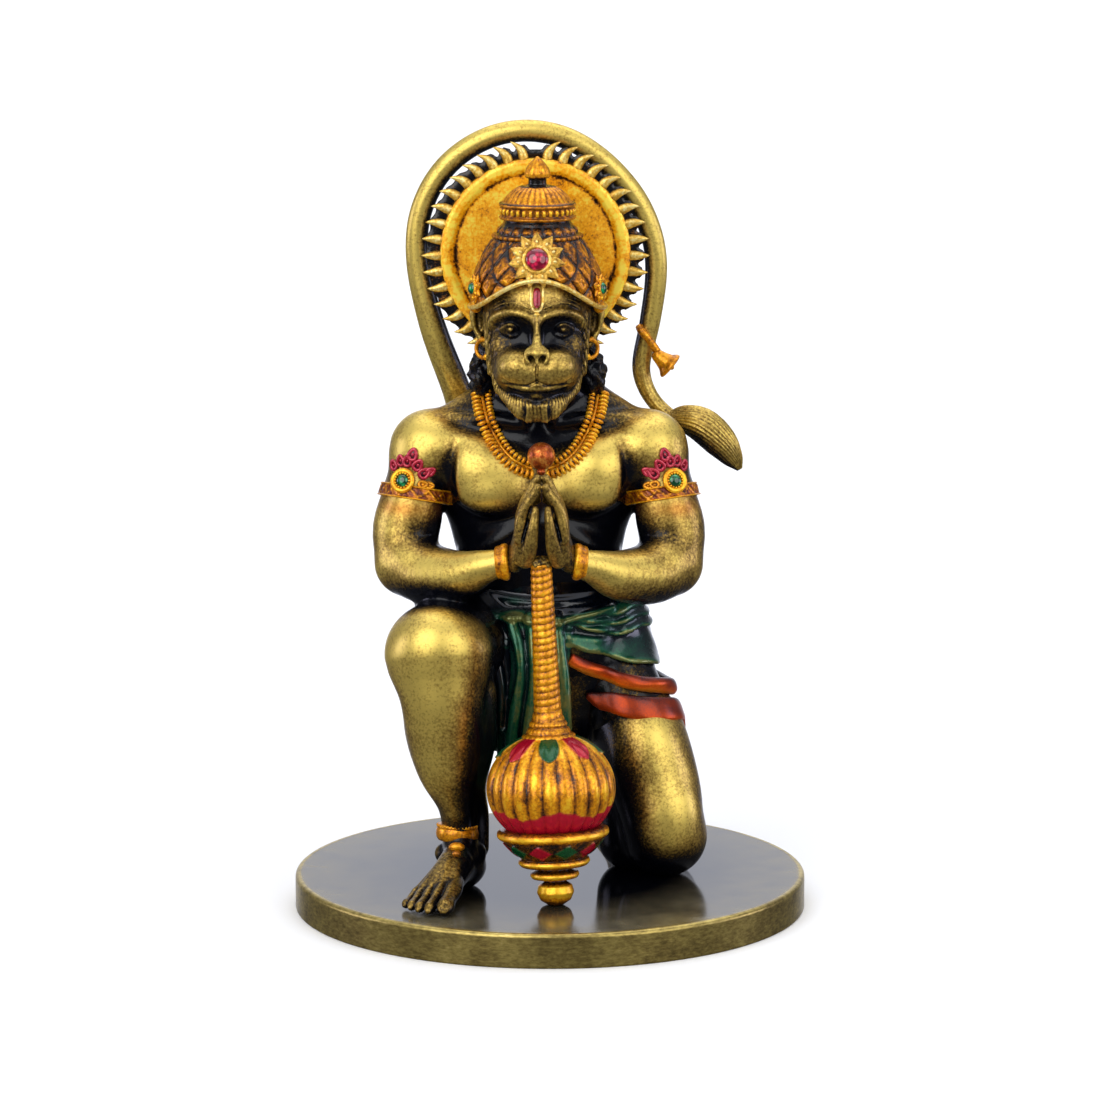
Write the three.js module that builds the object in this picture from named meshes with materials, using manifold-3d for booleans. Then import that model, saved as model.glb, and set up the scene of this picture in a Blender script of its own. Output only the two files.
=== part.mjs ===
// A cast resin dashboard figure: a monkey-faced deity kneeling on one knee, palms joined over
// a standing mace, with a rayed halo and a long tail arched over the head, on a round plinth.
// Millimetres, +Z up, the figure faces -Y. The origin is the centre of the plinth's underside.
import * as THREE from "three";
import { mergeVertices } from "three/addons/utils/BufferGeometryUtils.js";
import Module from "manifold-3d";

const wasm = await Module();
wasm.setup();

// Driving dimensions
const plinth = { radius: 30, thickness: 4, bevel: 0.5 };
const ground = plinth.thickness; // z of the surface that the figure kneels on
const midline = -1.3; // x of the figure's plane of symmetry above the hips
const joinGap = 0.3; // clear gap between castings that are glued together
const bodyHeights = { crotch: 25, hips: 30, waist: 38.5, ribs: 45, chest: 50.5, shoulders: 56, neck: 62 };
const armReach = { shoulder: 13.7, elbow: 15.3, wrist: 4.4 }; // distances from the midline
const headPlace = { y: -0.4, chin: 59.4 };
const crownAxis = { x: -1.45, y: 0.3 };
const haloShape = { x: -1.7, y: 7.3, z: 76.2, rim: 11.1, rayTip: 13.6, thickness: 1.1, rays: 38 };
const maceShape = { tip: [0.7, -16.6], top: [-1.0, -13.3], height: 38.6, ball: 7.35, flutes: 16 };
const tailPlane = 9.9; // y of the arch over the head
const tailJoint = 44; // height at which the tail is parted from the stump cast with the back

const along = {
  x: new THREE.Vector3(1, 0, 0),
  y: new THREE.Vector3(0, 1, 0),
  z: new THREE.Vector3(0, 0, 1),
};

const toVector = (p) => new THREE.Vector3(...p);
const toRadians = THREE.MathUtils.degToRad;
const fuse = (...solids) => solids.flat().reduce((all, next) => all.add(next));
const bothSides = (make) => [make(-1), make(1)];

// A closed three.js geometry as a manifold solid, with its shared vertices merged
function solidFrom(geometry) {
  const flat = geometry.index ? geometry.toNonIndexed() : geometry;
  const bare = new THREE.BufferGeometry();
  bare.setAttribute("position", flat.getAttribute("position"));
  const merged = mergeVertices(bare, 1e-4);
  const index = merged.index.array;
  const kept = [];
  for (let i = 0; i < index.length; i += 3) {
    const [a, b, c] = [index[i], index[i + 1], index[i + 2]];
    if (a !== b && b !== c && c !== a) kept.push(a, b, c);
  }
  const vertProperties = merged.attributes.position.array;
  return new wasm.Manifold(new wasm.Mesh({ numProp: 3, vertProperties, triVerts: new Uint32Array(kept) }));
}

// A manifold solid as a three.js geometry
function geometryFrom(solid) {
  const mesh = solid.getMesh();
  const geometry = new THREE.BufferGeometry();
  geometry.setAttribute("position", new THREE.BufferAttribute(new Float32Array(mesh.vertProperties), 3));
  geometry.setIndex(new THREE.BufferAttribute(new Uint32Array(mesh.triVerts), 1));
  geometry.computeVertexNormals();
  return geometry;
}

// Skins a stack of rings that all have the same number of points, and closes both ends with a fan
function skin(rings, startPole, endPole) {
  const sides = rings[0].length;
  const points = [...rings.flat(), startPole, endPole];
  const start = points.length - 2;
  const end = points.length - 1;
  const faces = [];
  for (let s = 0; s < sides; s++) {
    const t = (s + 1) % sides;
    faces.push(start, t, s);
    for (let r = 0; r + 1 < rings.length; r++) {
      const [a, b] = [r * sides + s, r * sides + t];
      faces.push(a, b, b + sides, a, b + sides, a + sides);
    }
    const last = (rings.length - 1) * sides;
    faces.push(last + s, last + t, end);
  }
  const geometry = new THREE.BufferGeometry().setFromPoints(points);
  geometry.setIndex(faces);
  return geometry;
}

// A limb: an oval section carried along a smooth curve through its stations, with domed or flat ends.
// A station is [x, y, z, half-width towards the wide direction, half-width across it].
function limb(stations, { sides = 10, steps = 2, wide = along.x, domes = [1, 1] } = {}) {
  const path = new THREE.CatmullRomCurve3(stations.map(([x, y, z]) => new THREE.Vector3(x, y, z)));
  const sizes = new THREE.CatmullRomCurve3(stations.map((s) => new THREE.Vector3(s[3], s[4] ?? s[3], 0)));
  const ring = (t, scale = 1, shift = 0) => {
    const tangent = path.getTangent(t);
    const centre = path.getPoint(t).addScaledVector(tangent, shift);
    const size = sizes.getPoint(t).multiplyScalar(scale);
    const side = wide.clone().addScaledVector(tangent, -wide.dot(tangent)).normalize();
    const other = new THREE.Vector3().crossVectors(tangent, side);
    return Array.from({ length: sides }, (_, k) => {
      const angle = (k / sides) * 2 * Math.PI;
      return centre.clone()
        .addScaledVector(side, size.x * Math.cos(angle))
        .addScaledVector(other, size.y * Math.sin(angle));
    });
  };
  // A dome is one smaller ring and a pole, at 45 and 90 degrees of its bulge
  const dome = (t, outward, height) => {
    const size = sizes.getPoint(t);
    const bulge = Math.min(size.x, size.y) * height * outward;
    return {
      shoulder: height ? [ring(t, Math.SQRT1_2, bulge * Math.SQRT1_2)] : [],
      pole: path.getPoint(t).addScaledVector(path.getTangent(t), bulge),
    };
  };
  const count = steps * (stations.length - 1);
  const rings = Array.from({ length: count + 1 }, (_, i) => ring(i / count));
  const [first, last] = [dome(0, -1, domes[0]), dome(1, 1, domes[1])];
  return solidFrom(skin([...first.shoulder, ...rings, ...last.shoulder], first.pole, last.pole));
}

// A ball stretched to three radii
function ball(centre, radii, [around, up] = [8, 5]) {
  return solidFrom(new THREE.SphereGeometry(1, around, up).rotateX(Math.PI / 2)
    .scale(...radii).translate(...centre));
}

// A box between two corners
function boxBetween(low, high) {
  const size = high.map((h, i) => h - low[i]);
  const middle = high.map((h, i) => (h + low[i]) / 2);
  return solidFrom(new THREE.BoxGeometry(...size).translate(...middle));
}

// A profile of [radius, height] pairs turned about Z, from its lowest point on the axis to its highest.
// swell(angle, radius, height) gives a point's new radius, for flutes and petals; place moves the result.
function turned(profile, segments, { swell = (angle, radius) => radius, place = new THREE.Matrix4() } = {}) {
  const points = profile.map(([r, z]) => new THREE.Vector2(r, z));
  const geometry = new THREE.LatheGeometry(points, segments).rotateX(Math.PI / 2);
  const position = geometry.getAttribute("position");
  for (let i = 0; i < position.count; i++) {
    const [x, y, z] = [position.getX(i), position.getY(i), position.getZ(i)];
    const radius = Math.hypot(x, y);
    const share = radius > 1e-6 ? swell(Math.atan2(y, x), radius, z) / radius : 1;
    position.setXY(i, x * share, y * share);
  }
  return solidFrom(geometry.applyMatrix4(place));
}

// Moves a thing modelled on the Z axis so that its axis points along the given direction
function aim(direction, centre) {
  const turn = new THREE.Quaternion().setFromUnitVectors(along.z, toVector(direction).normalize());
  return new THREE.Matrix4().compose(toVector(centre), turn, new THREE.Vector3(1, 1, 1));
}

// A flat hoop round a limb, its axis along the limb and its middle filled by the limb
function hoop(centre, axis, radius, width) {
  const profile = [[0, -width / 2], [radius, -width / 2], [radius, width / 2], [0, width / 2]];
  return turned(profile, 12, { place: aim(axis, centre) });
}

// A flat flower: petals round a raised stone
function flower(radius, petals, direction, centre) {
  const profile = [[0, -0.8], [radius, -0.8], [radius * 0.95, 0.2], [0, 0.9]];
  const petalled = (angle, r) => r * (0.8 + 0.2 * Math.cos(angle * petals));
  return turned(profile, 2 * petals, { swell: petalled, place: aim(direction, centre) });
}

// A roll laid round an upright oval. Bearings are in degrees from the front towards +X.
function roll({ centre, oval, from, to, rise, thick, pieces = 6, sides = 5 }) {
  const stations = Array.from({ length: pieces + 1 }, (_, i) => {
    const share = i / pieces;
    const bearing = toRadians(THREE.MathUtils.lerp(from, to, share));
    return [
      centre[0] + oval[0] * Math.sin(bearing),
      centre[1] - oval[1] * Math.cos(bearing),
      centre[2] + THREE.MathUtils.lerp(rise[0], rise[1], share),
      ...thick,
    ];
  });
  return limb(stations, { sides, steps: 1, wide: along.z });
}

function plinthDisc() {
  const { radius, thickness, bevel } = plinth;
  const profile = [[0, 0], [radius, 0], [radius, thickness - bevel], [radius - bevel, thickness], [0, thickness]];
  return turned(profile, 48);
}

function torso() {
  const { crotch, hips, waist, ribs, chest, shoulders, neck } = bodyHeights;
  const trunk = limb([
    [0.4, 4.6, crotch, 9.4, 7.4],
    [0.3, 4.4, hips, 11.2, 8.2],
    [-0.9, 3.6, waist, 9.6, 6.8],
    [midline, 3.0, ribs, 10.7, 7.2],
    [midline, 2.8, chest, 12.4, 7.4],
    [midline, 3.2, shoulders, 12.6, 5.6],
    [midline, 3.0, (shoulders + neck) / 2, 8.2, 5.2],
    [midline, 1.6, neck, 5.0, 4.8],
  ], { sides: 12, steps: 1, domes: [0.4, 0.2] });
  const breast = bothSides((s) => ball([midline + s * 5.2, -2.4, chest + 0.4], [5.8, 3.4, 4.6]));
  return fuse(trunk, breast);
}

function arm(side) {
  const { shoulder, elbow, wrist } = armReach;
  const x = (reach) => midline + side * reach;
  const upper = limb([
    [x(shoulder), 1.8, 54.6, 4.6, 4.8],
    [x(elbow - 0.8), 0.8, 49.4, 3.9, 4.2],
    [x(elbow + 0.2), -0.6, 45, 3.9, 4.1],
    [x(elbow + 0.2), -1.6, 41, 3.6, 3.8],
  ], { steps: 1 });
  const fore = limb([
    [x(elbow), -1.8, 40.9, 3.7, 3.7],
    [x(10.6), -6.6, 40.6, 3.2, 3.1],
    [x(wrist + 0.6), -11.4, 42.3, 1.9, 1.9],
  ], { sides: 8, wide: along.z });
  const bangle = hoop([x(wrist + 0.9), -11.1, 42.3], [side, 0.75, -0.25], 2.6, 1.3);
  return fuse(upper, fore, bangle, armlet(side));
}

// A band round the upper arm with a flower crest above it
function armlet(side) {
  const [x, y, z] = [midline + side * (armReach.elbow - 0.6), 0.9, 49.8];
  const band = hoop([x, y, z], along.z, 4.6, 2.2);
  const facing = [side * 0.35, -1, 0.1];
  const crest = flower(3.4, 6, facing, [x + side * 0.9, y - 3.4, z + 2.9]);
  return fuse(band, crest);
}

// One joined palm, with its fingers as a slab and its thumb in front
function hand(side) {
  const x = (reach) => midline + 0.4 + side * reach;
  const palm = limb([
    [x(3.8), -11.8, 42.9, 1.5, 1.9],
    [x(2.6), -12.9, 46.4, 1.2, 2.8],
    [x(1.7), -12.9, 50.2, 0.9, 2.7],
    [x(0.6), -12.7, 53.2, 0.6, 2.0],
  ], { sides: 8, steps: 1 });
  const thumb = limb([[x(2.5), -15.2, 44.8, 1.1, 0.9], [x(1.1), -15.9, 49.8, 0.8]], { sides: 6, steps: 1 });
  return fuse(palm, thumb);
}

// Five toes fanned from a foot: the first is the big toe, and across leads from it to the smallest
function toes({ root, across, reach, curve, size }) {
  return Array.from({ length: 5 }, (_, i) => {
    const share = i / 4;
    const base = toVector(root).addScaledVector(toVector(across), share * 0.8);
    const tip = toVector(root).addScaledVector(toVector(across), share * 1.15)
      .addScaledVector(toVector(reach), 1 - curve * share ** 2);
    const radius = i === 0 ? size * 1.35 : size;
    return limb([[...base, radius], [...tip, radius]], { sides: 5, steps: 1, domes: [0, 1] });
  });
}

function raisedLeg() {
  const thigh = limb([
    [-6.5, 6.5, 29, 6.8, 6.6],
    [-10.6, -2.5, 31.4, 6.2, 6.2],
    [-12.8, -9.6, 32.4, 5.9, 5.6],
  ], { sides: 8, steps: 1 });
  const shin = limb([
    [-12.8, -10.6, 32.2, 6.0, 5.4],
    [-12.0, -10.0, 25.0, 5.2, 5.2],
    [-11.9, -9.4, 20, 4.1, 4.5],
    [-10.8, -9.2, 14, 2.4, 2.8],
    [-10.4, -8.7, 6.8, 2.4, 2.8],
  ], { steps: 1 });
  const foot = limb([
    [-10.0, -7.2, 6.0, 2.4, 2.2],
    [-11.3, -12.6, 6.9, 3.1, 2.8],
    [-12.6, -17.4, 5.2, 3.6, 1.4],
  ], { sides: 8, steps: 1, wide: new THREE.Vector3(1, -0.3, 0) });
  const toeFan = toes({ root: [-10.4, -17.6, 5.2], across: [-5.0, 1.8, 0], reach: [0.5, -3.2, -0.3],
    curve: 0.55, size: 0.8 });
  const anklet = hoop([-10.6, -9.1, 12.6], [0.05, 0, 1], 3.5, 1.4);
  return fuse(thigh, shin, foot, toeFan, anklet);
}

function kneelingLeg() {
  const thigh = limb([
    [6.5, 5.0, 28, 6.8, 6.6],
    [10.9, 0.6, 20.6, 5.6],
    [13.2, -1.6, 13.4, 5.1, 5.3],
    [13.9, -2.4, 9.2, 4.5, 4.9],
  ], { steps: 1 });
  const shin = limb([
    [13.6, -1.6, 8.2, 4.5, 4.4],
    [12.4, 5.5, 8.2, 4.5, 4.4],
    [10.4, 13, 7.2, 3.2, 3.1],
    [9.2, 18, 6.4, 2.6, 2.3],
    [8.1, 22.6, 5.2, 3.3, 1.3],
  ], { steps: 1 });
  const toeFan = toes({ root: [5.8, 23.2, 5.0], across: [4.6, -0.6, 0], reach: [-0.4, 2.6, 0],
    curve: 0.5, size: 0.75 });
  return fuse(thigh, shin, toeFan);
}

// Hip cloth: waist folds, a gathered panel between the legs, a rolled sash and a hem round the thigh
function hipCloth() {
  const wrapped = limb([
    [0.2, 4.4, 25.6, 10.6, 8.4],
    [0.4, 4.4, 31, 12.2, 9.2],
    [-0.6, 4.0, 36.8, 9.8, 7.8],
  ], { sides: 14, steps: 1, domes: [0.3, 0.2] });
  const folds = [0, 1].map((i) => roll({
    centre: [0.1 + 0.3 * i, 4.3, 36.4 - i * 3.0], oval: [9.1 + i * 1.2, 7.7 + i * 0.6],
    from: 10 + i * 8, to: 190, rise: [-0.6, 0.6], thick: [0.9, 0.7],
  }));
  const overRaisedThigh = limb([[-5.5, 7, 29.4, 7.6, 7.4], [-8.8, 0.6, 30.8, 7.0, 6.9]],
    { sides: 12, steps: 1, domes: [0, 0.2] });
  const overKneelingThigh = limb([[6.2, 4.8, 29, 7.2, 7.6], [9.6, 1.6, 23.4, 6.4, 6.9]],
    { sides: 12, steps: 1, domes: [0, 0.2] });
  const sash = roll({ centre: [5.0, 3.8, 28.2], oval: [8.9, 9.6], from: -20, to: 160, rise: [2.6, -1.4],
    thick: [1.15, 0.9] });
  const hem = roll({ centre: [8.9, 1.4, 23.8], oval: [6.2, 8.0], from: -36, to: 170, rise: [0.9, -1.6],
    thick: [1.2, 0.7] });
  return fuse(wrapped, folds, overRaisedThigh, overKneelingThigh, sash, hem, drapePanel());
}

// The panel hangs from the waist between the knees: level rings rippled by pleats on the front
function drapePanel() {
  const levels = [
    { z: 36.4, x: -2.2, half: 4.6, front: -5.4, back: -0.5 },
    { z: 30.0, x: -2.3, half: 4.9, front: -6.2, back: -1.5 },
    { z: 24.0, x: -2.1, half: 4.9, front: -6.6, back: -4.0 },
    { z: 13.5, x: -1.4, half: 4.0, front: -6.0, back: -4.4 },
  ];
  const pleats = { count: 5, depth: 0.45, pointsEach: 4 };
  const columns = pleats.count * pleats.pointsEach;
  const rings = levels.map(({ z, x, half, front, back }) => [
    new THREE.Vector3(x + half, back, z),
    new THREE.Vector3(x - half, back, z),
    ...Array.from({ length: columns + 1 }, (_, i) => {
      const share = i / columns;
      const ripple = pleats.depth * Math.cos(share * pleats.count * 2 * Math.PI);
      return new THREE.Vector3(x + half * (2 * share - 1), front + ripple, z);
    }),
  ]);
  const middle = ({ z, x, front, back }) => new THREE.Vector3(x, (front + back) / 2, z);
  rings.reverse();
  return solidFrom(skin(rings, middle(levels.at(-1)), middle(levels[0])));
}

function head() {
  const { y, chin } = headPlace;
  const up = (height) => chin + height;
  const skull = limb([
    [midline, y - 2.6, up(1.6), 3.6, 3.6],
    [midline, y - 1.8, up(6), 5.8, 6.3],
    [midline, y, up(11.6), 6.4, 6.9],
    [midline, y + 0.4, up(15), 6.2, 6.6],
  ], { sides: 12, steps: 1, domes: [0.5, 0] });
  const muzzle = ball([midline, y - 6.2, up(4.6)], [4.3, 3.5, 3.7]);
  const nose = limb([
    [midline, y - 6.2, up(11), 0.8, 0.9],
    [midline, y - 9.9, up(7.5), 1.3, 0.9],
  ], { sides: 6, steps: 1 });
  const brow = limb([-5.4, -3.2, 0, 3.2, 5.4].map((x) => [
    midline + x, y - 6.7 + 0.09 * x ** 2, up(11.6 - 0.7 * Math.cos(x)), 0.85,
  ]), { sides: 5, steps: 1, wide: along.z });
  const beard = limb([
    [midline - 4.8, y - 1.6, up(3.2), 1.2],
    [midline, y - 5.2, up(0.6), 1.7, 1.5],
    [midline + 4.8, y - 1.6, up(3.2), 1.2],
  ], { sides: 6, steps: 1, wide: along.z });
  const ear = bothSides((s) => limb([
    [midline + s * 6.5, y + 0.6, up(10.6), 0.8, 1.4],
    [midline + s * 6.2, y - 0.2, up(6.2), 0.8, 1.0],
  ], { sides: 6, steps: 1 }));
  return fuse(skull, muzzle, nose, brow, beard, ear);
}

function hair() {
  const back = limb([
    [midline, 4.4, 70, 6.4, 3.2],
    [midline, 4.8, 64, 7.4, 3.8],
    [midline, 6.2, 56, 6.4, 2.8],
  ], { steps: 1 });
  const lock = bothSides((s) => limb([
    [midline + s * 6.2, 1.6, 66, 1.5, 2.2],
    [midline + s * 6.6, 1.1, 61.5, 1.8, 2.6],
    [midline + s * 6.0, 1.2, 58.6, 1.6, 2.2],
  ], { sides: 6, steps: 1 }));
  return fuse(back, lock);
}

function crown() {
  const { x, y } = crownAxis;
  const profile = [
    [0, 70.6], [7.7, 70.6], [7.9, 73.6], [6.9, 76.8], [5.4, 78.6], [5.6, 79.1], [4.5, 80.4],
    [4.9, 81.6], [4.1, 83], [2.3, 84.7], [0.8, 85.2], [1.4, 86.2], [0, 88.3],
  ];
  const ribs = 9;
  const ribbed = (angle, radius, z) => {
    const onDome = z > 82.5 && z < 84.9;
    return onDome ? radius * (1 - 0.06 * Math.sin((angle * ribs) / 2) ** 2) : radius;
  };
  const place = new THREE.Matrix4().makeTranslation(x, y, 0);
  const body = turned(profile, 2 * ribs, { swell: ribbed, place });
  // The face is open below the brow arch, so the crown is cut back in front of the forehead
  const faceOpening = limb([[x, y - 12, 66.6, 6.7, 7.2], [x, y - 5.9, 66.6, 6.7, 7.2]],
    { sides: 12, steps: 1, domes: [0, 0] });
  const browArch = limb([-75, -50, -25, 0, 25, 50, 75].map((degrees) => {
    const bearing = toRadians(degrees);
    return [x + 7.8 * Math.sin(bearing), y - 7.8 * Math.cos(bearing), 70 + 4.4 * Math.cos(bearing), 0.6];
  }), { sides: 5, steps: 1, wide: along.z });
  const brooch = flower(2.8, 8, [0, -1, 0.25], [x, y - 7.2, 77.2]);
  return fuse(body.subtract(faceOpening), browArch, brooch);
}

// A broad strand from shoulder to shoulder across the breastbone, and a round pendant before it
function necklace() {
  const pieces = 12;
  const [spread, top, low] = [7.0, 63, 53.2];
  const strand = limb(Array.from({ length: pieces + 1 }, (_, i) => {
    const swing = (i / pieces - 0.5) * Math.PI;
    const drop = Math.cos(swing) ** 0.8;
    return [midline + 0.2 + spread * Math.sin(swing), 0.4 - 5.8 * drop, top - (top - low) * drop, 1.6, 0.9];
  }), { sides: 6, steps: 1, wide: along.z });
  const [x, y, z] = [midline + 0.3, -8.6, 54.7];
  const pendant = ball([x, y, z], [1.65, 1.65, 1.65], [8, 6]);
  const hanger = limb([[x, y + 3.6, z - 0.4, 1.2], [x, y + 0.8, z, 1.0]], { sides: 6, steps: 1 });
  return fuse(strand, hanger, pendant);
}

// The tail's centreline from the small of the back, up past the left shoulder, over the halo and down
const tailRoute = [
  [-1.4, 11, 31, 2.3],
  [-5.0, 15.2, 36, 2.1],
  [-8.4, 15.6, 44, 1.9],
  [-9.8, 12.4, 53, 1.75],
  [-10.8, tailPlane + 0.6, 59, 1.7],
  [-13.9, tailPlane, 66.9, 1.45],
  [-15.8, tailPlane, 76.4, 1.15],
  [-14.7, tailPlane, 83.4, 1.1],
  [-8.8, tailPlane, 89.3, 1.1],
  [-1.4, tailPlane, 90.5, 1.1],
  [5.6, tailPlane, 88.6, 1.1],
  [11.4, tailPlane, 82.4, 1.1],
  [12.9, tailPlane, 75, 1.1],
  [11.8, tailPlane, 66.9, 1.1],
  [10.6, tailPlane, 62.2, 1.0],
  [12.2, tailPlane - 0.4, 58.4, 0.9],
  [15.0, tailPlane - 2, 56.2, 0.9],
];

// The stump is cast with the back, and the arch is glued on at a level cut
function tailStump() {
  const root = limb(tailRoute.slice(0, 5), { sides: 8, wide: along.y });
  return root.intersect(boxBetween([-20, 0, 20], [10, 30, tailJoint]));
}

function tail() {
  const arch = limb(tailRoute, { sides: 7, wide: along.y });
  const tuft = limb([
    [14.4, tailPlane - 1.8, 56.5, 1.2],
    [17.2, tailPlane - 3.2, 56.2, 2.3, 2.0],
    [19.8, tailPlane - 4.0, 54.4, 2.3, 1.9],
    [22.0, tailPlane - 4.0, 51.2, 0.5],
  ], { sides: 8, wide: along.z });
  const belowJoint = boxBetween([-40, -20, 0], [40, 40, tailJoint + joinGap]);
  return fuse(arch.subtract(belowJoint), tuft, tailBell());
}

// A small bell on a cord tied to the falling side of the tail, cast in one with it
function tailBell() {
  const y = tailPlane - 1.4;
  const cord = limb([[10.8, y, 66.5, 0.6], [13.1, y, 64.5, 0.6]], { sides: 5, steps: 1 });
  const profile = [[0, -1.3], [1.35, -1.1], [1.1, -0.4], [0.6, 0.8], [0, 1.0]];
  return fuse(cord, turned(profile, 10, { place: aim([-0.76, 0, 0.64], [13.9, y, 63.7]) }));
}

function figure() {
  const whole = fuse(torso(), bothSides(arm), bothSides(hand), raisedLeg(), kneelingLeg(), hipCloth(),
    head(), hair(), crown(), necklace(), tailStump());
  const aboveGround = boxBetween([-40, -40, ground], [40, 40, 100]);
  const behindCrown = boxBetween([-14, haloShape.y - joinGap, 62], [12, 30, 95]);
  return whole.intersect(aboveGround).subtract(behindCrown);
}

// The halo's plate and flame rays are one outline, and its rim a raised band. It is modelled lying
// down, its top towards +Y, with the front of the band level with z = 0 and facing +Z.
function halo() {
  const { rim, rayTip, thickness, rays } = haloShape;
  const pitch = 360 / rays;
  const at = (radius, degrees) => {
    const bearing = toRadians(degrees); // from the top, clockwise seen from the front
    return new THREE.Vector2(radius * Math.sin(bearing), radius * Math.cos(bearing));
  };
  const outline = Array.from({ length: rays }, (_, i) => {
    const middle = (i + 0.5) * pitch;
    const curl = 2.2 * Math.cos(toRadians(middle)) * (middle < 180 ? 1 : -1); // tips sweep away from the top
    return [at(rim, middle - pitch * 0.33), at(rayTip, middle + Math.max(curl, -2.2)),
      at(rim, middle + pitch * 0.33)];
  }).flat();
  const relief = 0.3; // how far the band stands before the plate
  const plate = new THREE.ExtrudeGeometry(new THREE.Shape(outline.reverse()),
    { depth: thickness - relief, bevelEnabled: false }).translate(0, 0, -thickness);
  const band = [[rim - 1.5, -0.6], [rim - 0.1, -0.6], [rim - 0.4, 0], [rim - 1.2, 0], [rim - 1.5, -0.6]];
  const ring = new THREE.LatheGeometry(band.map(([r, z]) => new THREE.Vector2(r, z)), 24);
  return fuse(solidFrom(plate), solidFrom(ring.rotateX(Math.PI / 2)));
}

// The mace stands on its tip: stepped rings, a bowl, a fluted ball, a collar and a ringed shaft
function mace() {
  const { tip, top, height, ball: radius, flutes } = maceShape;
  const place = aim([top[0] - tip[0], top[1] - tip[1], height], [...tip, ground]);
  const foot = turned([
    [0, -0.2], [1.4, 0.2], [2.1, 1.5], [1.3, 2.8], [2.8, 3.4], [2.0, 4.3], [3.4, 4.9], [3.4, 5.8],
    [5.3, 7.5], [6.4, 7.9], [6.4, 8.9], [0, 9.6],
  ], 16, { place });
  const middle = 13.4;
  const ballProfile = [-1, -0.7, -0.3, 0.1, 0.5, 0.85, 1].map((share) => [
    radius * Math.sqrt(1 - share ** 2), middle + 6.6 * share]);
  const fluted = (angle, r) => r * (1 - 0.045 * Math.sin((angle * flutes) / 2) ** 2);
  const head = turned(ballProfile, 2 * flutes, { swell: fluted, place });
  const shaft = turned([[0, 19], [3.0, 19.4], [2.0, 20.6], [1.9, 21.6], [1.45, 22.4], [1.2, height], [0, height]],
    10, { place });
  return fuse(foot, head, shaft).intersect(boxBetween([-20, -40, ground], [20, 0, 60]));
}

const finishes = {
  agedGold: new THREE.MeshStandardMaterial({ color: 0xa8934a, roughness: 0.35, metalness: 0.8 }),
  brushedPlinth: new THREE.MeshStandardMaterial({ color: 0x4a4636, roughness: 0.2, metalness: 0.6 }),
  warmGold: new THREE.MeshStandardMaterial({ color: 0xd99a1c, roughness: 0.35, metalness: 0.7 }),
};

function named(name, solid, material) {
  const mesh = new THREE.Mesh(geometryFrom(solid), material);
  mesh.name = name;
  return mesh;
}

const statue = new THREE.Group();
statue.add(named("base_disc", plinthDisc(), finishes.brushedPlinth));
statue.add(named("kneeling_figure", figure(), finishes.agedGold));
statue.add(named("tail", tail(), finishes.agedGold));
statue.add(named("mace", mace(), finishes.warmGold));

const haloMesh = named("halo", halo(), finishes.warmGold);
haloMesh.position.set(haloShape.x, haloShape.y, haloShape.z);
haloMesh.rotation.x = Math.PI / 2;
statue.add(haloMesh);

export default statue;
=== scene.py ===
from math import cos, pi, radians, sin

import bpy
import numpy as np
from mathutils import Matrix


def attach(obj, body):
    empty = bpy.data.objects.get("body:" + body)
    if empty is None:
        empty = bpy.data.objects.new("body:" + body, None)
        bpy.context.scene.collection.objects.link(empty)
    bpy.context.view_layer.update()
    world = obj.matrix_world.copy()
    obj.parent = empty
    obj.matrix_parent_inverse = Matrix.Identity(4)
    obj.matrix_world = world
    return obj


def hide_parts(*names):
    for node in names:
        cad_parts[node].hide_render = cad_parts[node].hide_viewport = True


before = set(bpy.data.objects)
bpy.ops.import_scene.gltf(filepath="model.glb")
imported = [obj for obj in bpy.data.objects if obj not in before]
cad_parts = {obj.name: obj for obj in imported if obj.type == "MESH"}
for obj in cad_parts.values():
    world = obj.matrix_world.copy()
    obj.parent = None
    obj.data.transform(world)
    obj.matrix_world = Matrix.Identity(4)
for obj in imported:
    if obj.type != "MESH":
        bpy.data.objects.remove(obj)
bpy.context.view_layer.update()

mm = 0.001

# Everything below is in millimetres in the frame's axes: the figure faces -Y, +X is to the viewer's
# right, +Z is up and z = 0 is the underside of the plinth. makePiece turns it into metres.

view = {"height": 144.1, "distance": 560, "pitchDown": 10.3, "lens": 159.72, "sensor": 36}
studio = {"floorHalf": 6000, "floor": "#fdfdfb", "room": "#e4e8f6", "walls": 0.12, "ceiling": 0.9,
          "back": 1.2}
# each soft box as the direction it stands in, its spread in degrees, its strength and its tint
lamps = {"keySoftBox": ((-0.5, -0.8, 0.48), 56, 1.65, "#ffffff"),
         "fillSoftBox": ((0.7, -0.68, 0.36), 50, 1.0, "#ffffff"),
         "topSoftBox": ((0.1, 0.4, 1.0), 60, 1.0, "#ffffff"),
         "leftEdgeBox": ((-1, 0.1, 0.12), 28, 0.65, "#d4d2ee"),
         "rightEdgeBox": ((1, 0.1, 0.12), 28, 0.65, "#d4d2ee")}
midline = -1.3   # x of the figure's plane of symmetry above the hips
faceLine = -1.5  # x of the middle of the face


# colour and nodes

def linearColour(hexCode):
    # sRGB to linear: ((c + 0.055) / 1.055) ^ 2.4, or c / 12.92 in the darkest part
    channels = [int(hexCode[k:k + 2], 16) / 255 for k in (1, 3, 5)]
    return [((c + 0.055) / 1.055) ** 2.4 if c > 0.04045 else c / 12.92 for c in channels] + [1]


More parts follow.
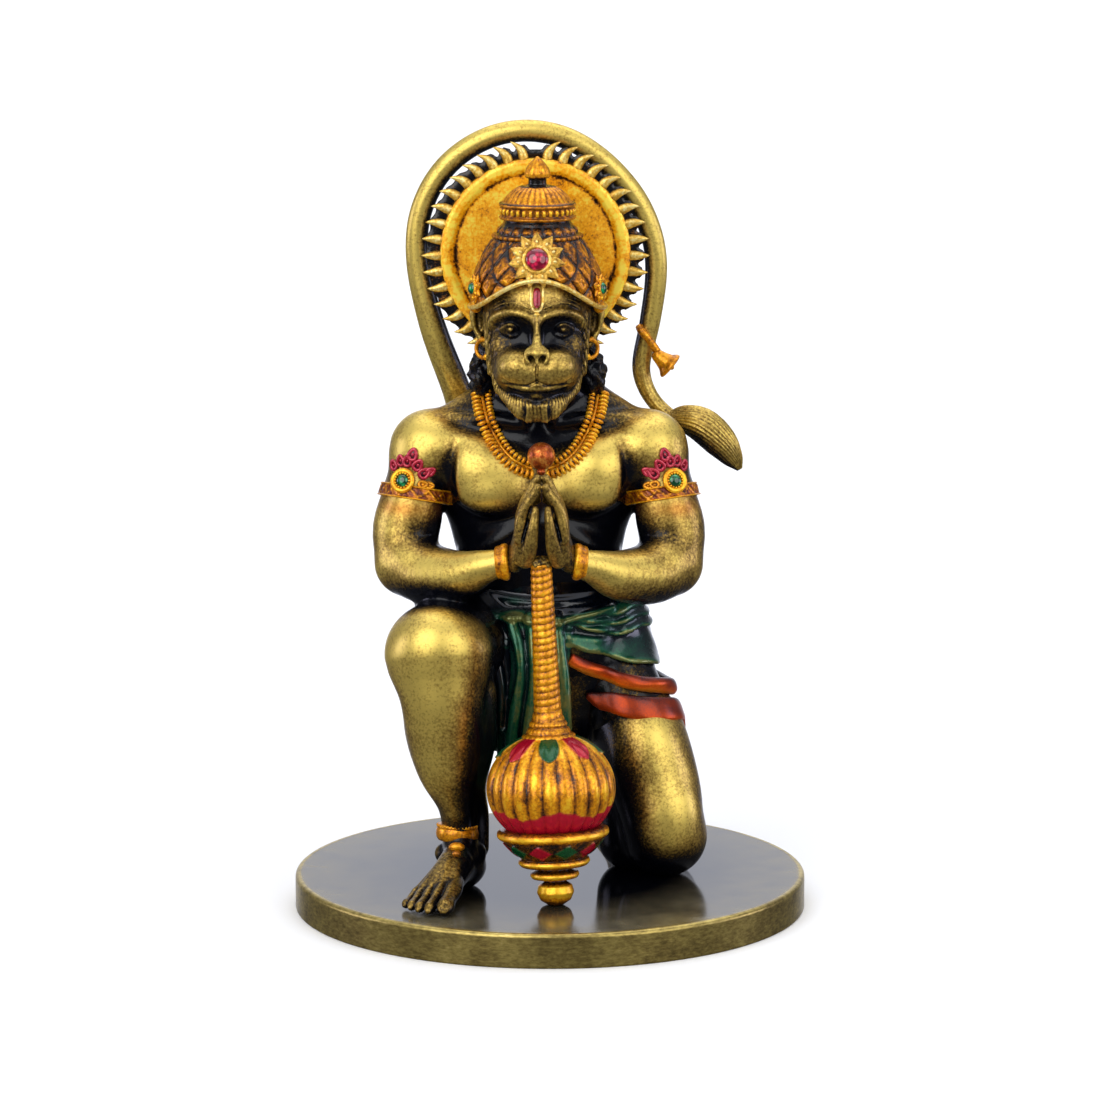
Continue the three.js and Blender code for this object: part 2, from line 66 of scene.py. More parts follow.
def addNode(tree, kind, settings=None, **sockets):
    # one node: settings are its own properties, sockets are values or outputs of other nodes,
    # named after the socket with _ for a space, or in0, in1 ... by number
    node = tree.nodes.new("ShaderNode" + kind)
    for name, value in (settings or {}).items():
        setattr(node, name, value)
    for name, value in sockets.items():
        key = int(name[2:]) if name[:2] == "in" and name[2:].isdigit() else name.replace("_", " ")
        if isinstance(value, bpy.types.NodeSocket):
            tree.links.new(value, node.inputs[key])
        else:
            node.inputs[key].default_value = value
    return node


def newMaterial(name):
    # an empty node material and its tree
    material = bpy.data.materials.new(name)
    material.use_nodes = True
    material.node_tree.nodes.clear()
    return material, material.node_tree


def fillRamp(node, stops):
    # stops are (place, hex colour) pairs, from low to high
    elements = node.color_ramp.elements
    while len(elements) < len(stops):
        elements.new(0.5)
    for element, (place, hexCode) in zip(elements, stops):
        element.position = place
        element.color = linearColour(hexCode)


# camera, floor and lights

def placeCamera():
    # a long lens in front of the figure and a little above it, tipped down by the pitch
    cameraData = bpy.data.cameras.new("productCamera")
    cameraData.lens, cameraData.sensor_width = view["lens"], view["sensor"]
    cameraData.clip_start, cameraData.clip_end = 0.01, 50
    viewer = bpy.data.objects.new("productCamera", cameraData)
    viewer.location = (0, -view["distance"] * mm, view["height"] * mm)
    viewer.rotation_euler = (radians(90 - view["pitchDown"]), 0, 0)
    bpy.context.collection.objects.link(viewer)
    bpy.context.scene.camera = viewer


def addLamp(name, toward, spread, strength, tint):
    # a far soft box: a sun of the given spread in degrees, seen in the direction toward
    lamp = bpy.data.lights.new(name, "SUN")
    lamp.angle, lamp.energy, lamp.color = radians(spread), strength, linearColour(tint)[:3]
    holder = bpy.data.objects.new(name, lamp)
    x, y, z = toward
    holder.rotation_euler = (np.arctan2(np.hypot(x, y), z), 0, np.arctan2(x, -y))
    bpy.context.collection.objects.link(holder)


def buildStudio():
    # a pale room, brightest overhead and behind, dim to the sides and the front so that the figure's
    # sides fall into shade
    world = bpy.data.worlds.new("paleRoom")
    bpy.context.scene.world = world
    world.use_nodes = True
    tree = world.node_tree
    tree.nodes.clear()
    toward = addNode(tree, "SeparateXYZ", in0=addNode(tree, "TexCoord").outputs["Generated"])
    above = addNode(tree, "MapRange", {"interpolation_type": "SMOOTHSTEP"}, Value=toward.outputs["Z"],
                    From_Min=0.15, From_Max=0.95, To_Min=studio["walls"], To_Max=studio["ceiling"])
    behind = addNode(tree, "MapRange", {"interpolation_type": "SMOOTHSTEP"}, Value=toward.outputs["Y"],
                     From_Min=0.8, From_Max=1.0, To_Min=0.0, To_Max=studio["back"])
    glow = addNode(tree, "Math", {"operation": "ADD"}, in0=above.outputs[0], in1=behind.outputs[0])
    wall = addNode(tree, "Background", Color=linearColour(studio["room"]), Strength=glow.outputs[0])
    addNode(tree, "OutputWorld", Surface=wall.outputs[0])
    half = studio["floorHalf"] * mm
    mesh = bpy.data.meshes.new("paleFloor")
    mesh.from_pydata([(-half, -half, 0), (half, -half, 0), (half, half, 0), (-half, half, 0)], [],
                     [(0, 1, 2, 3)])
    floor = bpy.data.objects.new("paleFloor", mesh)
    bpy.context.collection.objects.link(floor)
    material, tree = newMaterial("mattePaper")
    shader = addNode(tree, "BsdfPrincipled", Base_Color=linearColour(studio["floor"]), Roughness=0.9)
    shader.inputs["Specular IOR Level"].default_value = 0.2
    addNode(tree, "OutputMaterial", Surface=shader.outputs[0])
    mesh.materials.append(material)
    floor.visible_glossy = False   # paint and gloss reflect the dim room, not the pale paper
    for name, lamp in lamps.items():
        addLamp(name, *lamp)
    bpy.context.scene.view_settings.view_transform = "Standard"


placeCamera()
buildStudio()
print("studio ready")


# shapes: every piece is a dictionary of points, faces of four, faces of three and values per point

def shapeOf(points, quads=None, tris=None, **marks):
    # a shape from its points and faces; a mark is a value per point, or one for all
    points = np.asarray(points, float).reshape(-1, 3)
    quads = np.zeros((0, 4), int) if quads is None else quads
    tris = np.zeros((0, 3), int) if tris is None else tris
    marks = {name: np.broadcast_to(np.asarray(value, float), len(points)) for name, value in marks.items()}
    return {"points": points, "quads": quads, "tris": tris, "marks": marks}


def joined(shapes):
    # several shapes as one, each keeping its own marks; a mark that one lacks is 0 there
    names = sorted({name for shape in shapes for name in shape["marks"]})
    starts = np.cumsum([0] + [len(shape["points"]) for shape in shapes])
    return {
        "points": np.concatenate([shape["points"] for shape in shapes]),
        "quads": np.concatenate([shape["quads"] + start for shape, start in zip(shapes, starts)]),
        "tris": np.concatenate([shape["tris"] + start for shape, start in zip(shapes, starts)]),
        "marks": {name: np.concatenate([shape["marks"].get(name, np.zeros(len(shape["points"])))
                                        for shape in shapes]) for name in names},
    }


def outward(shape):
    # turns the faces round when the volume, the sum of p0 . (p1 x p2) / 6, comes out negative
    p = shape["points"] - shape["points"].mean(0)
    q, t = shape["quads"], shape["tris"]
    corners = np.concatenate([q[:, [0, 1, 2]], q[:, [0, 2, 3]], t])
    volume = np.einsum("ij,ij->i", p[corners[:, 0]], np.cross(p[corners[:, 1]], p[corners[:, 2]])).sum()
    if volume < 0:
        shape["quads"], shape["tris"] = q[:, ::-1], t[:, ::-1]
    return shape


def ringSkin(grid, closed=False, **marks):
    # grid[i, j] is point j of ring i; rings close on themselves, and the row of rings closes too
    # or ends on the middle of its first and last ring
    rings, around = grid.shape[:2]
    last = rings if closed else rings - 1
    i, j = np.meshgrid(np.arange(last), np.arange(around), indexing="ij")
    here, side = i * around + j, i * around + (j + 1) % around
    above, aside = (i + 1) % rings * around + j, (i + 1) % rings * around + (j + 1) % around
    quads = np.stack([here, side, aside, above], -1).reshape(-1, 4)
    values = {name: np.broadcast_to(value, (rings, around)).reshape(-1) for name, value in marks.items()}
    points, tris = grid.reshape(-1, 3), None
    if not closed:
        start, end = rings * around, rings * around + 1
        k = np.arange(around)
        top = (rings - 1) * around
        tris = np.concatenate([np.stack([np.full(around, start), (k + 1) % around, k], 1),
                               np.stack([np.full(around, end), top + k, top + (k + 1) % around], 1)])
        points = np.concatenate([points, grid[0].mean(0)[None], grid[-1].mean(0)[None]])
        values = {name: np.concatenate([v, [v[:around].mean(), v[-around:].mean()]])
                  for name, v in values.items()}
    return outward(shapeOf(points, quads, tris, **values))


def ramp(value, width=1):
    # rises from 0 to 1 while the value goes from 0 to the width
    return np.clip(value / width, 0, 1)


def hump(value, width):
    # exp(-(value / width)^2): 1 at 0, nearly nothing at twice the width
    return np.exp(-(value / width) ** 2)


def wholeTurn(count):
    # angles round a circle, the last one a step short of the first
    return np.linspace(0, 2 * pi, count, endpoint=False)


def polar(radius, angle, height):
    # points round z: (radius cos angle, radius sin angle, height)
    return np.stack(np.broadcast_arrays(radius * np.cos(angle), radius * np.sin(angle), height), -1)


def unit(vectors):
    # vectors divided by their lengths
    return vectors / np.maximum(np.linalg.norm(vectors, axis=-1, keepdims=True), 1e-9)


def smoothLine(stations, count):
    # Catmull-Rom curve through the stations, each a row of numbers, sampled count times a span
    rows = np.array(stations, float)
    rows = np.concatenate([[2 * rows[0] - rows[1]], rows, [2 * rows[-1] - rows[-2]]])
    t = np.linspace(0, 1, count, endpoint=False)[None, :, None]
    a, b, c, d = (rows[k:len(rows) - 3 + k, None, :] for k in range(4))
    line = 0.5 * (2 * b + (c - a) * t + (2 * a - 5 * b + 4 * c - d) * t ** 2
                  + (3 * b - a - 3 * c + d) * t ** 3)
    return np.concatenate([line.reshape(-1, rows.shape[1]), rows[-2][None]])


def evenLine(line, step):
    # the same line with points at even steps of its length
    length = np.concatenate([[0], np.cumsum(np.linalg.norm(np.diff(line[:, :3], axis=0), axis=1))])
    places = np.linspace(0, length[-1], max(3, int(round(length[-1] / step)) + 1))
    return np.stack([np.interp(places, length, line[:, k]) for k in range(line.shape[1])], 1)


def neighbourLine(values, passes=6):
    # evens out a row of numbers: each becomes the mean of itself and its neighbours
    for _ in range(passes):
        values = np.concatenate([values[:1], (values[:-2] + values[1:-1] + values[2:]) / 3, values[-1:]])
    return values


def routeFrame(line, wide):
    # tangent, side and other side at each point of a line; side leans towards the wide direction
    tangent = unit(np.gradient(line, axis=0))
    wide = np.broadcast_to(np.asarray(wide, float), line.shape)
    side = unit(wide - (wide * tangent).sum(1, keepdims=True) * tangent)
    return tangent, side, np.cross(tangent, side)


def tube(line, radii, wide=(0, 0, 1), around=16, relief=None, closed=False, **marks):
    # an oval carried along a line: centre + side r1 cos a + other r2 sin a
    tangent, side, other = routeFrame(line, wide)
    if closed:
        tangent = unit(np.roll(line, -1, 0) - np.roll(line, 1, 0))
        side = unit(side - (side * tangent).sum(1, keepdims=True) * tangent)
        other = np.cross(tangent, side)
    radii = np.asarray(radii, float)
    radii = np.broadcast_to(radii[:, None] if radii.shape == (len(line),) else radii, (len(line), 2))
    angle = wholeTurn(around)
    swell = np.zeros((len(line), around)) if relief is None else relief
    grid = (line[:, None] + (radii[:, :1] + swell)[..., None] * side[:, None] * np.cos(angle)[None, :, None]
            + (radii[:, 1:] + swell)[..., None] * other[:, None] * np.sin(angle)[None, :, None])
    return ringSkin(grid, closed, **marks)


def axesFor(direction, up=(0, 0, 1)):
    # columns x, y, z of a frame whose z is the direction and whose y leans towards up
    z = unit(np.asarray(direction, float))
    up = np.asarray(up, float)
    if abs(z @ up) > 0.98:
        up = np.array([0.0, 1.0, 0.0])
    y = unit(up - (up @ z) * z)
    return np.stack([np.cross(y, z), y, z], 1)


def placed(shape, centre=(0, 0, 0), axes=None):
    # each point becomes centre + axes * point
    points = shape["points"] if axes is None else shape["points"] @ np.asarray(axes).T
    return {**shape, "points": points + np.asarray(centre)}


def turned(profile, around=96, swell=None, **marks):
    # a lathe shape round z: profile rows are (radius, height), swell(angle, height, radius) gives
    # the radius after its flutes or petals
    profile = np.asarray(profile, float)
    angle = wholeTurn(around)[None, :]
    radius, height = profile[:, :1], profile[:, 1:2]
    wide = radius + 0 * angle if swell is None else swell(angle, height, radius)
    grid = np.stack([wide * np.sin(angle), -wide * np.cos(angle), height + 0 * angle], -1)
    values = {name: value(angle, height, radius) + 0 * wide if callable(value) else value
              for name, value in marks.items()}
    return ringSkin(grid, **values)


def softProfile(corners, step=0.12, rounding=0.35):
    # a moulding's outline through its corners, with each corner rounded over a short length
    line = evenLine(np.array(corners, float), step)
    reach = max(1, int(rounding / step / 2))
    weights = np.hanning(2 * reach + 3)[1:-1]
    weights /= weights.sum()
    padded = np.concatenate([np.repeat(line[:1], reach, 0), line, np.repeat(line[-1:], reach, 0)])
    return np.stack([np.convolve(padded[:, k], weights, "valid") for k in range(line.shape[1])], 1)


def bead(radii, around=10, rings=6, **marks):
    # a small oval ball: (r1 sin a cos b, r2 sin a sin b, r3 cos a)
    a = np.linspace(0, pi, rings + 2)[1:-1, None]
    b = wholeTurn(around)[None, :]
    grid = np.stack([radii[0] * np.sin(a) * np.cos(b), radii[1] * np.sin(a) * np.sin(b),
                     radii[2] * np.cos(a) + 0 * b], -1)
    return ringSkin(grid, **marks)


def repeated(shape, centres, frames=None):
    # copies of one shape: point of copy k = centre k + frame k * point
    count, each = len(centres), len(shape["points"])
    frames = np.broadcast_to(np.eye(3), (count, 3, 3)) if frames is None else np.asarray(frames)
    points = np.einsum("kij,nj->kni", frames, shape["points"]) + np.asarray(centres)[:, None, :]
    shift = (np.arange(count) * each)[:, None, None]
    return shapeOf(points, (shape["quads"][None] + shift).reshape(-1, 4),
                   (shape["tris"][None] + shift).reshape(-1, 3),
                   **{name: np.tile(value, count) for name, value in shape["marks"].items()})


def makePiece(name, shape, material, node="kneeling_figure"):
    # a mesh object from a shape, in metres at the origin, that stands for a CAD node
    mesh = bpy.data.meshes.new(name)
    points, quads, tris = shape["points"], shape["quads"], shape["tris"]
    corners = np.concatenate([quads.ravel(), tris.ravel()]).astype(np.int32)
    sizes = np.concatenate([np.full(len(quads), 4), np.full(len(tris), 3)])
    mesh.vertices.add(len(points))
    mesh.vertices.foreach_set("co", (points * mm).astype(np.float32).ravel())
    mesh.loops.add(len(corners))
    mesh.loops.foreach_set("vertex_index", corners)
    mesh.polygons.add(len(sizes))
    mesh.polygons.foreach_set("loop_start", (np.cumsum(sizes) - sizes).astype(np.int32))
    mesh.polygons.foreach_set("use_smooth", np.ones(len(sizes), bool))
    mesh.update(calc_edges=True)
    for mark, values in shape["marks"].items():
        layer = mesh.attributes.new(mark, "FLOAT", "POINT")
        layer.data.foreach_set("value", np.asarray(values, np.float32))
    mesh.materials.append(material)
    piece = bpy.data.objects.new(name, mesh)
    bpy.context.collection.objects.link(piece)
    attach(piece, "root")
    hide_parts(node)
    print(f"{name}: {len(sizes)} faces")


# clay: a grid of distances in mm, minus inside, on which ovals and limbs are blended or carved

farAway = 6.0         # the distance of empty clay
leastRadius = 0.05    # a limb never gets thinner
evenPasses = 8        # steps in which a line is laid on the clay


def newClay(low, high, step):
    # an empty grid between two corners
    axes = [np.arange(a, b + step, step, dtype=np.float32) for a, b in zip(low, high)]
    return {"axes": axes, "step": step, "field": np.full([len(a) for a in axes], farAway, np.float32)}


def window(clay, low, high):
    # the part of the grid between two corners, with its x, y and z spread for whole-array sums
    cut, spread = [], []
    for k, axis in enumerate(clay["axes"]):
        a, b = np.searchsorted(axis, [low[k], high[k]])
        cut.append(slice(a, b))
        spread.append(axis[a:b].reshape([-1 if j == k else 1 for j in range(3)]))
    return tuple(cut), spread


def wholeGrid(clay):
    # a window that holds the whole grid
    return window(clay, (-farAway * 20,) * 3, (farAway * 20,) * 3)


def press(clay, cut, shape, blend, carve=False):
    # smooth union min(a, b) - max(k - |a - b|, 0)^2 / 4k, or the same turned over to carve
    here = -clay["field"][cut] if carve else clay["field"][cut]
    overlap = np.maximum(blend - np.abs(here - shape), 0)
    merged = np.minimum(here, shape) - overlap ** 2 / (4 * blend)
    clay["field"][cut] = -merged if carve else merged


def ovalDistance(u, v, w, ru, rv, rw):
    # about the distance to an ellipsoid: k0 (k0 - 1) / k1, k0 = |(u/ru, ..)|, k1 = |(u/ru^2, ..)|
    a, b, c = u / ru, v / rv, w / rw
    k0 = np.sqrt(a * a + b * b + c * c) + 1e-4
    k1 = np.sqrt((a / ru) ** 2 + (b / rv) ** 2 + (c / rw) ** 2) + 1e-4
    return k0 * (k0 - 1) / k1


def reachOf(clay, radius, blend):
    # how far from its middle an oval can change the field
    return 1.3 * radius + 1.5 * blend + 2 * clay["step"]


def oval(clay, centre, radii, blend=0.8, toward=None, carve=False):
    # an ellipsoid; toward turns its third radius along a direction
    reach = reachOf(clay, max(radii), blend)
    centre = np.array(centre, float)
    cut, (x, y, z) = window(clay, centre - reach, centre + reach)
    if min(len(x), y.shape[1], z.shape[2]) == 0:
        return
    x, y, z = x - centre[0], y - centre[1], z - centre[2]
    if toward is not None:
        axes = axesFor(toward)
        x, y, z = (x * axes[0, k] + y * axes[1, k] + z * axes[2, k] for k in range(3))
    press(clay, cut, ovalDistance(x, y, z, *radii), blend, carve)


def limb(clay, stations, blend=0.8, wide=None, steps=5, carve=False):
    # stations are (x, y, z, radius along wide, other radius): an oval carried along their curve,
    # the nearest of many short straight runs; a round one takes wide as the axis it runs least along
    rows = [list(s) + [s[3]] * (5 - len(s)) for s in stations]
    line = smoothLine(rows, steps)
    if wide is None:
        lean = np.abs(unit(np.diff(line[:, :3], axis=0))).max(0)
        wide = (1, 0, 0) if any(len(s) > 4 for s in stations) else np.eye(3)[np.argmin(lean)]
    line[:, 3:] = np.maximum(line[:, 3:], leastRadius)
    reach = reachOf(clay, line[:, 3:].max(), blend)
    cut, (x, y, z) = window(clay, line[:, :3].min(0) - reach, line[:, :3].max(0) + reach)
    if min(len(x), y.shape[1], z.shape[2]) == 0:
        return
    part = {"axes": [x.ravel(), y.ravel(), z.ravel()], "step": clay["step"],
            "field": np.full((len(x), y.shape[1], z.shape[2]), farAway, np.float32)}
    _, sides, others = routeFrame(line[:, :3], wide)
    for k in range(len(line) - 1):
        a, b = line[k], line[k + 1]
        run = b[:3] - a[:3]
        reachHere = reachOf(clay, max(a[3:].max(), b[3:].max()), blend)
        inner, (px, py, pz) = window(part, np.minimum(a, b)[:3] - reachHere,
                                     np.maximum(a, b)[:3] + reachHere)
        if 0 in (len(px), py.shape[1], pz.shape[2]):
            continue
        px, py, pz = px - a[0], py - a[1], pz - a[2]
        t = ramp(px * run[0] + py * run[1] + pz * run[2], run @ run)
        qx, qy, qz = px - t * run[0], py - t * run[1], pz - t * run[2]
        side, other, ahead = sides[k], others[k], unit(run)
        ru, rv = a[3] + t * (b[3] - a[3]), a[4] + t * (b[4] - a[4])
        distance = ovalDistance(qx * side[0] + qy * side[1] + qz * side[2],
                                qx * other[0] + qy * other[1] + qz * other[2],
                                qx * ahead[0] + qy * ahead[1] + qz * ahead[2], ru, rv, np.minimum(ru, rv))
        part["field"][inner] = np.minimum(part["field"][inner], distance)
    press(clay, cut, part["field"], blend, carve)


def bothSides(stations, middle):
    # the same stations on the viewer's left and right of a middle plane; x is given as reach
    for side in (-1, 1):
        yield side, [[middle + side * s[0], *s[1:]] for s in stations]


def keepAbove(clay, level, blend=0.2):
    # cuts away all that is lower than the level
    cut, (_, _, z) = wholeGrid(clay)
    press(clay, cut, np.broadcast_to(z - level, clay["field"].shape), blend, carve=True)


def sampled(clay, points, field=None):
    # the field at any point, mixed from the eight grid values round it
    field = clay["field"] if field is None else field
    low = np.array([axis[0] for axis in clay["axes"]])
    place = np.clip((points - low) / clay["step"], 0, np.array(field.shape) - 1.001)
    cell = place.astype(int)
    t = place - cell
    total = 0
    for corner in np.ndindex(2, 2, 2):
        weight = np.prod(np.where(corner, t, 1 - t), axis=1)
        total = total + weight * field[tuple((cell + corner).T)]
    return total


def slope(clay, points):
    # the field's gradient: differences over 3/4 of a grid step each way
    h = clay["step"] * 0.75
    return np.stack([sampled(clay, points + h * axis) - sampled(clay, points - h * axis)
                     for axis in np.eye(3)], 1) / (2 * h)


def peeled(clay):
    # the surface where the field is 0: one point in each grid cell that it crosses, at the middle
    # of its edge crossings, one face across each crossed grid edge
    field = clay["field"].copy()
    for axis in range(3):
        for end in (0, -1):
            rim = [slice(None)] * 3
            rim[axis] = end
            field[tuple(rim)] = np.maximum(field[tuple(rim)], clay["step"])
    inside = field < 0
    size = np.array(field.shape)
    corners = np.array(list(np.ndindex(2, 2, 2)))
    count = sum(inside[tuple(slice(c, n - 1 + c) for c, n in zip(corner, size))].astype(np.int8)
                for corner in corners)
    mixed = (count > 0) & (count < 8)
    cells = np.argwhere(mixed)
    number = np.full(mixed.shape, -1, np.int64)
    number[mixed] = np.arange(len(cells))
    values = np.stack([field[tuple((cells + corner).T)] for corner in corners], 1)
    total, hits = np.zeros((len(cells), 3)), np.zeros((len(cells), 1))
    for a in range(8):
        for axis in range(3):
            if corners[a][axis] == 0:
                b = a + (4, 2, 1)[axis]
                crossed = (values[:, a] < 0) != (values[:, b] < 0)
                t = np.where(crossed, values[:, a] / np.where(crossed, values[:, a] - values[:, b], 1), 0)
                spot = corners[a] + t[:, None] * (corners[b] - corners[a])
                total += spot * crossed[:, None]
                hits += crossed[:, None]
    low = np.array([axis[0] for axis in clay["axes"]])
    points = low + (cells + total / hits) * clay["step"]
    quads = []
    for axis in range(3):
        u, v = np.eye(3, dtype=int)[(axis + 1) % 3], np.eye(3, dtype=int)[(axis + 2) % 3]
        ahead = np.eye(3, dtype=int)[axis]
        first = inside[tuple(slice(0, n - d) for n, d in zip(size, ahead))]
        second = inside[tuple(slice(d, n) for n, d in zip(size, ahead))]
        edge = np.argwhere(first != second)
        edge = edge[np.all((edge + ahead >= 1) & (edge + u + v <= size - 1), axis=1)]
        edge = edge[np.all((edge - u - v >= 0), axis=1)]
        ring = np.stack([number[tuple(e.T)] for e in (edge, edge - u, edge - u - v, edge - v)], 1)
        ring = np.where(inside[tuple(edge.T)][:, None], ring, ring[:, ::-1])
        quads.append(ring)
    for _ in range(2):
        way = slope(clay, points)
        points = points - way * (sampled(clay, points) / np.maximum((way ** 2).sum(1), 0.2))[:, None]
    return shapeOf(points, np.concatenate(quads)), unit(slope(clay, points))


def softened(clay, reach):
    # the solid share (0 to 1) of the clay, averaged three times over a box of about reach
    solid = ramp(0.5 - clay["field"] / clay["step"])
    r = max(1, int(round(reach / clay["step"] / 1.7)))
    for _ in range(3):
        for axis in range(3):
            padding = [(r + 1, r) if k == axis else (0, 0) for k in range(3)]
            run = np.cumsum(np.pad(solid, padding, mode="edge"), axis=axis, dtype=np.float64)
            length = run.shape[axis]
            solid = ((np.take(run, np.arange(2 * r + 1, length), axis)
                      - np.take(run, np.arange(0, length - 2 * r - 1), axis))
                     / (2 * r + 1)).astype(np.float32)
    return solid


frontSearch = {"first": -20, "last": 12, "step": 0.12}


def onFront(clay, x, z, lift):
    # where a line from the front at (x, z) first comes within lift of the clay
    depths = np.arange(frontSearch["first"], frontSearch["last"], frontSearch["step"])
    grid = np.stack(np.broadcast_arrays(x[:, None], depths[None, :], z[:, None]), -1)
    values = sampled(clay, grid.reshape(-1, 3)).reshape(len(x), -1)
    near = values < lift
    first = np.where(near.any(1), near.argmax(1), 0)
    row = np.arange(len(x))
    before = np.maximum(first - 1, 0)
    a, b = values[row, before], values[row, first]
    t = np.where(a != b, (a - lift) / np.where(a != b, a - b, 1), 0)
    return np.stack([x, depths[before] + ramp(t) * frontSearch["step"], z], 1)


def seatOn(clay, x, z, lift):
    # one point on the front of the clay
    return onFront(clay, np.array([x]), np.array([z]), lift)[0]


def laidOn(clay, points, lift):
    # moves points level with the ground until they stand lift mm outside the clay
    for _ in range(evenPasses):
        way = slope(clay, points) * (1, 1, 0)
        gap = sampled(clay, points) - lift
        points = points - 0.8 * way * (gap / np.maximum((way ** 2).sum(1), 0.3))[:, None]
    return points


def traced(clay, path, lift, count=6):
    # a smooth line through (x, z) points, laid on the front of the clay
    curve = smoothLine(path, count)
    return onFront(clay, curve[:, 0], curve[:, 1], lift)


def spotPush(points, spots):
    # the sum of amount * exp(-(distance / radii)^2) over the spots
    total = np.zeros(len(points))
    for x, y, z, rx, ry, rz, amount in spots:
        away = ((points - (x, y, z)) / (rx, ry, rz)) ** 2
        total += amount * np.exp(-away.sum(1))
    return total


# the figure's flesh: trunk, arms and legs

bodyLook = {"step": 0.306, "low": (-24, -24, 3.6), "high": (22, 28, 64)}
trunk = [(0.4, 4.6, 25, 9.4, 7.4), (0.3, 4.4, 30, 11.2, 8.2), (-0.9, 3.6, 38.5, 9.4, 6.8),
         (-1.3, 3.0, 45, 10.3, 7.0), (-1.3, 2.9, 50.5, 12.0, 6.9), (-1.3, 3.2, 56, 12.2, 5.4),
         (-1.3, 3.0, 59, 7.6, 4.8), (-1.3, 1.6, 62, 4.8, 4.6)]
# stations are reach from the midline, y, z and two radii
upperArm = [(12.8, 2.0, 53.8, 4.3, 4.6), (14.2, 1.0, 49.8, 3.6, 4.1), (15.4, -0.4, 45.2, 3.9, 4.2),
            (15.4, -1.5, 41.2, 3.5, 3.8)]
forearm = [(15.2, -1.9, 41.0, 3.7, 3.7), (12.6, -4.9, 40.4, 3.7, 3.5), (9.4, -8.0, 40.8, 3.0, 2.9),
           (6.6, -10.2, 42.1, 2.1, 2.0), (4.1, -11.5, 43.0, 1.45, 1.5)]
raisedThigh = [(-6.5, 6.5, 29, 6.8, 6.6), (-10.6, -2.5, 31.4, 6.2, 6.2), (-12.8, -9.4, 32.2, 5.9, 5.7)]
raisedShin = [(-12.8, -10.6, 32.0, 5.9, 5.3), (-12.4, -11.2, 27.5, 4.9, 4.6), (-12.0, -10.2, 23, 4.6, 4.8),
              (-11.6, -9.4, 19, 3.9, 4.5), (-10.8, -9.0, 14.4, 2.35, 2.8), (-10.5, -8.8, 10.6, 1.95, 2.4),
              (-10.3, -8.7, 6.8, 2.2, 2.7)]
kneelingThigh = [(6.0, 5, 28, 6.2, 6.4), (8.4, 2.4, 24.4, 4.8, 5.6), (10.4, 0.5, 20.4, 5.4, 5.9),
                 (12.4, -1.4, 14.4, 5.2, 5.6), (13.5, -2.4, 9.2, 4.6, 5.0)]
kneelingShin = [(13.6, -1.6, 8.2, 4.5, 4.3), (12.4, 5.5, 8.3, 4.6, 4.4), (10.4, 13, 7.2, 3.3, 3.1),
                (9.2, 18, 6.4, 2.6, 2.3), (8.1, 22.6, 5.2, 3.3, 1.3)]


def sculptTrunk(clay):
    # a lofted torso, then the muscles, creases and bones of each side
    limb(clay, trunk, steps=7)
    for side in (-1, 1):
        x = lambda reach: midline + side * reach
        # chest muscle: a full lower edge, its upper fibres running out to the shoulder
        oval(clay, (x(5.3), -2.0, 51.2), (5.6, 3.5, 4.0), 1.1)
        oval(clay, (x(4.8), -3.2, 49.6), (4.3, 2.4, 2.6), 0.9)
        limb(clay, [(x(6.5), -1.6, 53.0, 2.8, 3.2), (x(10.8), 0.2, 54.6, 3.0, 3.2)], 1.5, (0, 0, 1))
        # shoulder: the deltoid's round cap and the slope up to the neck
        oval(clay, (x(12.8), 1.6, 53.8), (4.4, 4.8, 4.7), 1.2)
        limb(clay, [(x(11.5), 3.0, 55.9, 2.2), (x(7), 3.8, 57.9, 2.3), (x(3.6), 4.2, 61, 2.6)], 1.4)
        # crease between chest and shoulder
        limb(clay, [(x(9.8), -3.4, 55.6, 0.35), (x(10.4), -3.6, 52.6, 0.5), (x(10.2), -3.0, 49.6, 0.7)],
             1.2, carve=True)
        # collar bone
        limb(clay, [(x(1.8), -2.2, 57.6, 0.5), (x(5.5), -1.6, 58.0, 0.5), (x(10), 0.6, 57.8, 0.5)], 1.2)
        # rib cage edge
        limb(clay, [(x(1.4), -3.6, 46.2, 1.2), (x(5.2), -2.8, 43.6, 1.2), (x(8.2), 0, 41.5, 1.2)], 1.4)
        # neck sinew, from behind the ear to the collar bone
        limb(clay, [(x(3.8), 0.6, 63.4, 1.0), (x(2.4), -1.8, 60.2, 0.8), (x(1.3), -2.8, 58.4, 0.6)], 0.9)
    limb(clay, [(midline, -4.6, 55, 0.4), (midline, -5.2, 50, 0.5), (midline, -5.4, 46, 0.5)], 1.2,
         carve=True)


def sculptArms(clay):
    # bent arms that meet in front of the chest
    for side, stations in bothSides(upperArm, midline):
        limb(clay, stations, 1.2)
        x = lambda reach: midline + side * reach
        oval(clay, (x(14.2), -2.2, 47.4), (2.9, 2.1, 4.2), 1.2)     # biceps
        oval(clay, (x(15.3), 2.4, 47.4), (2.8, 2.4, 4.4), 1.4)      # back of the upper arm
        oval(clay, (x(15.6), 0.8, 40.6), (2.7, 2.6, 2.6), 1.2)      # elbow
        oval(clay, (x(14.2), -4.2, 41.9), (2.6, 2.6, 2.3), 1.4)     # forearm muscle over the elbow
    for side, stations in bothSides(forearm, midline):
        limb(clay, stations, 0.9)


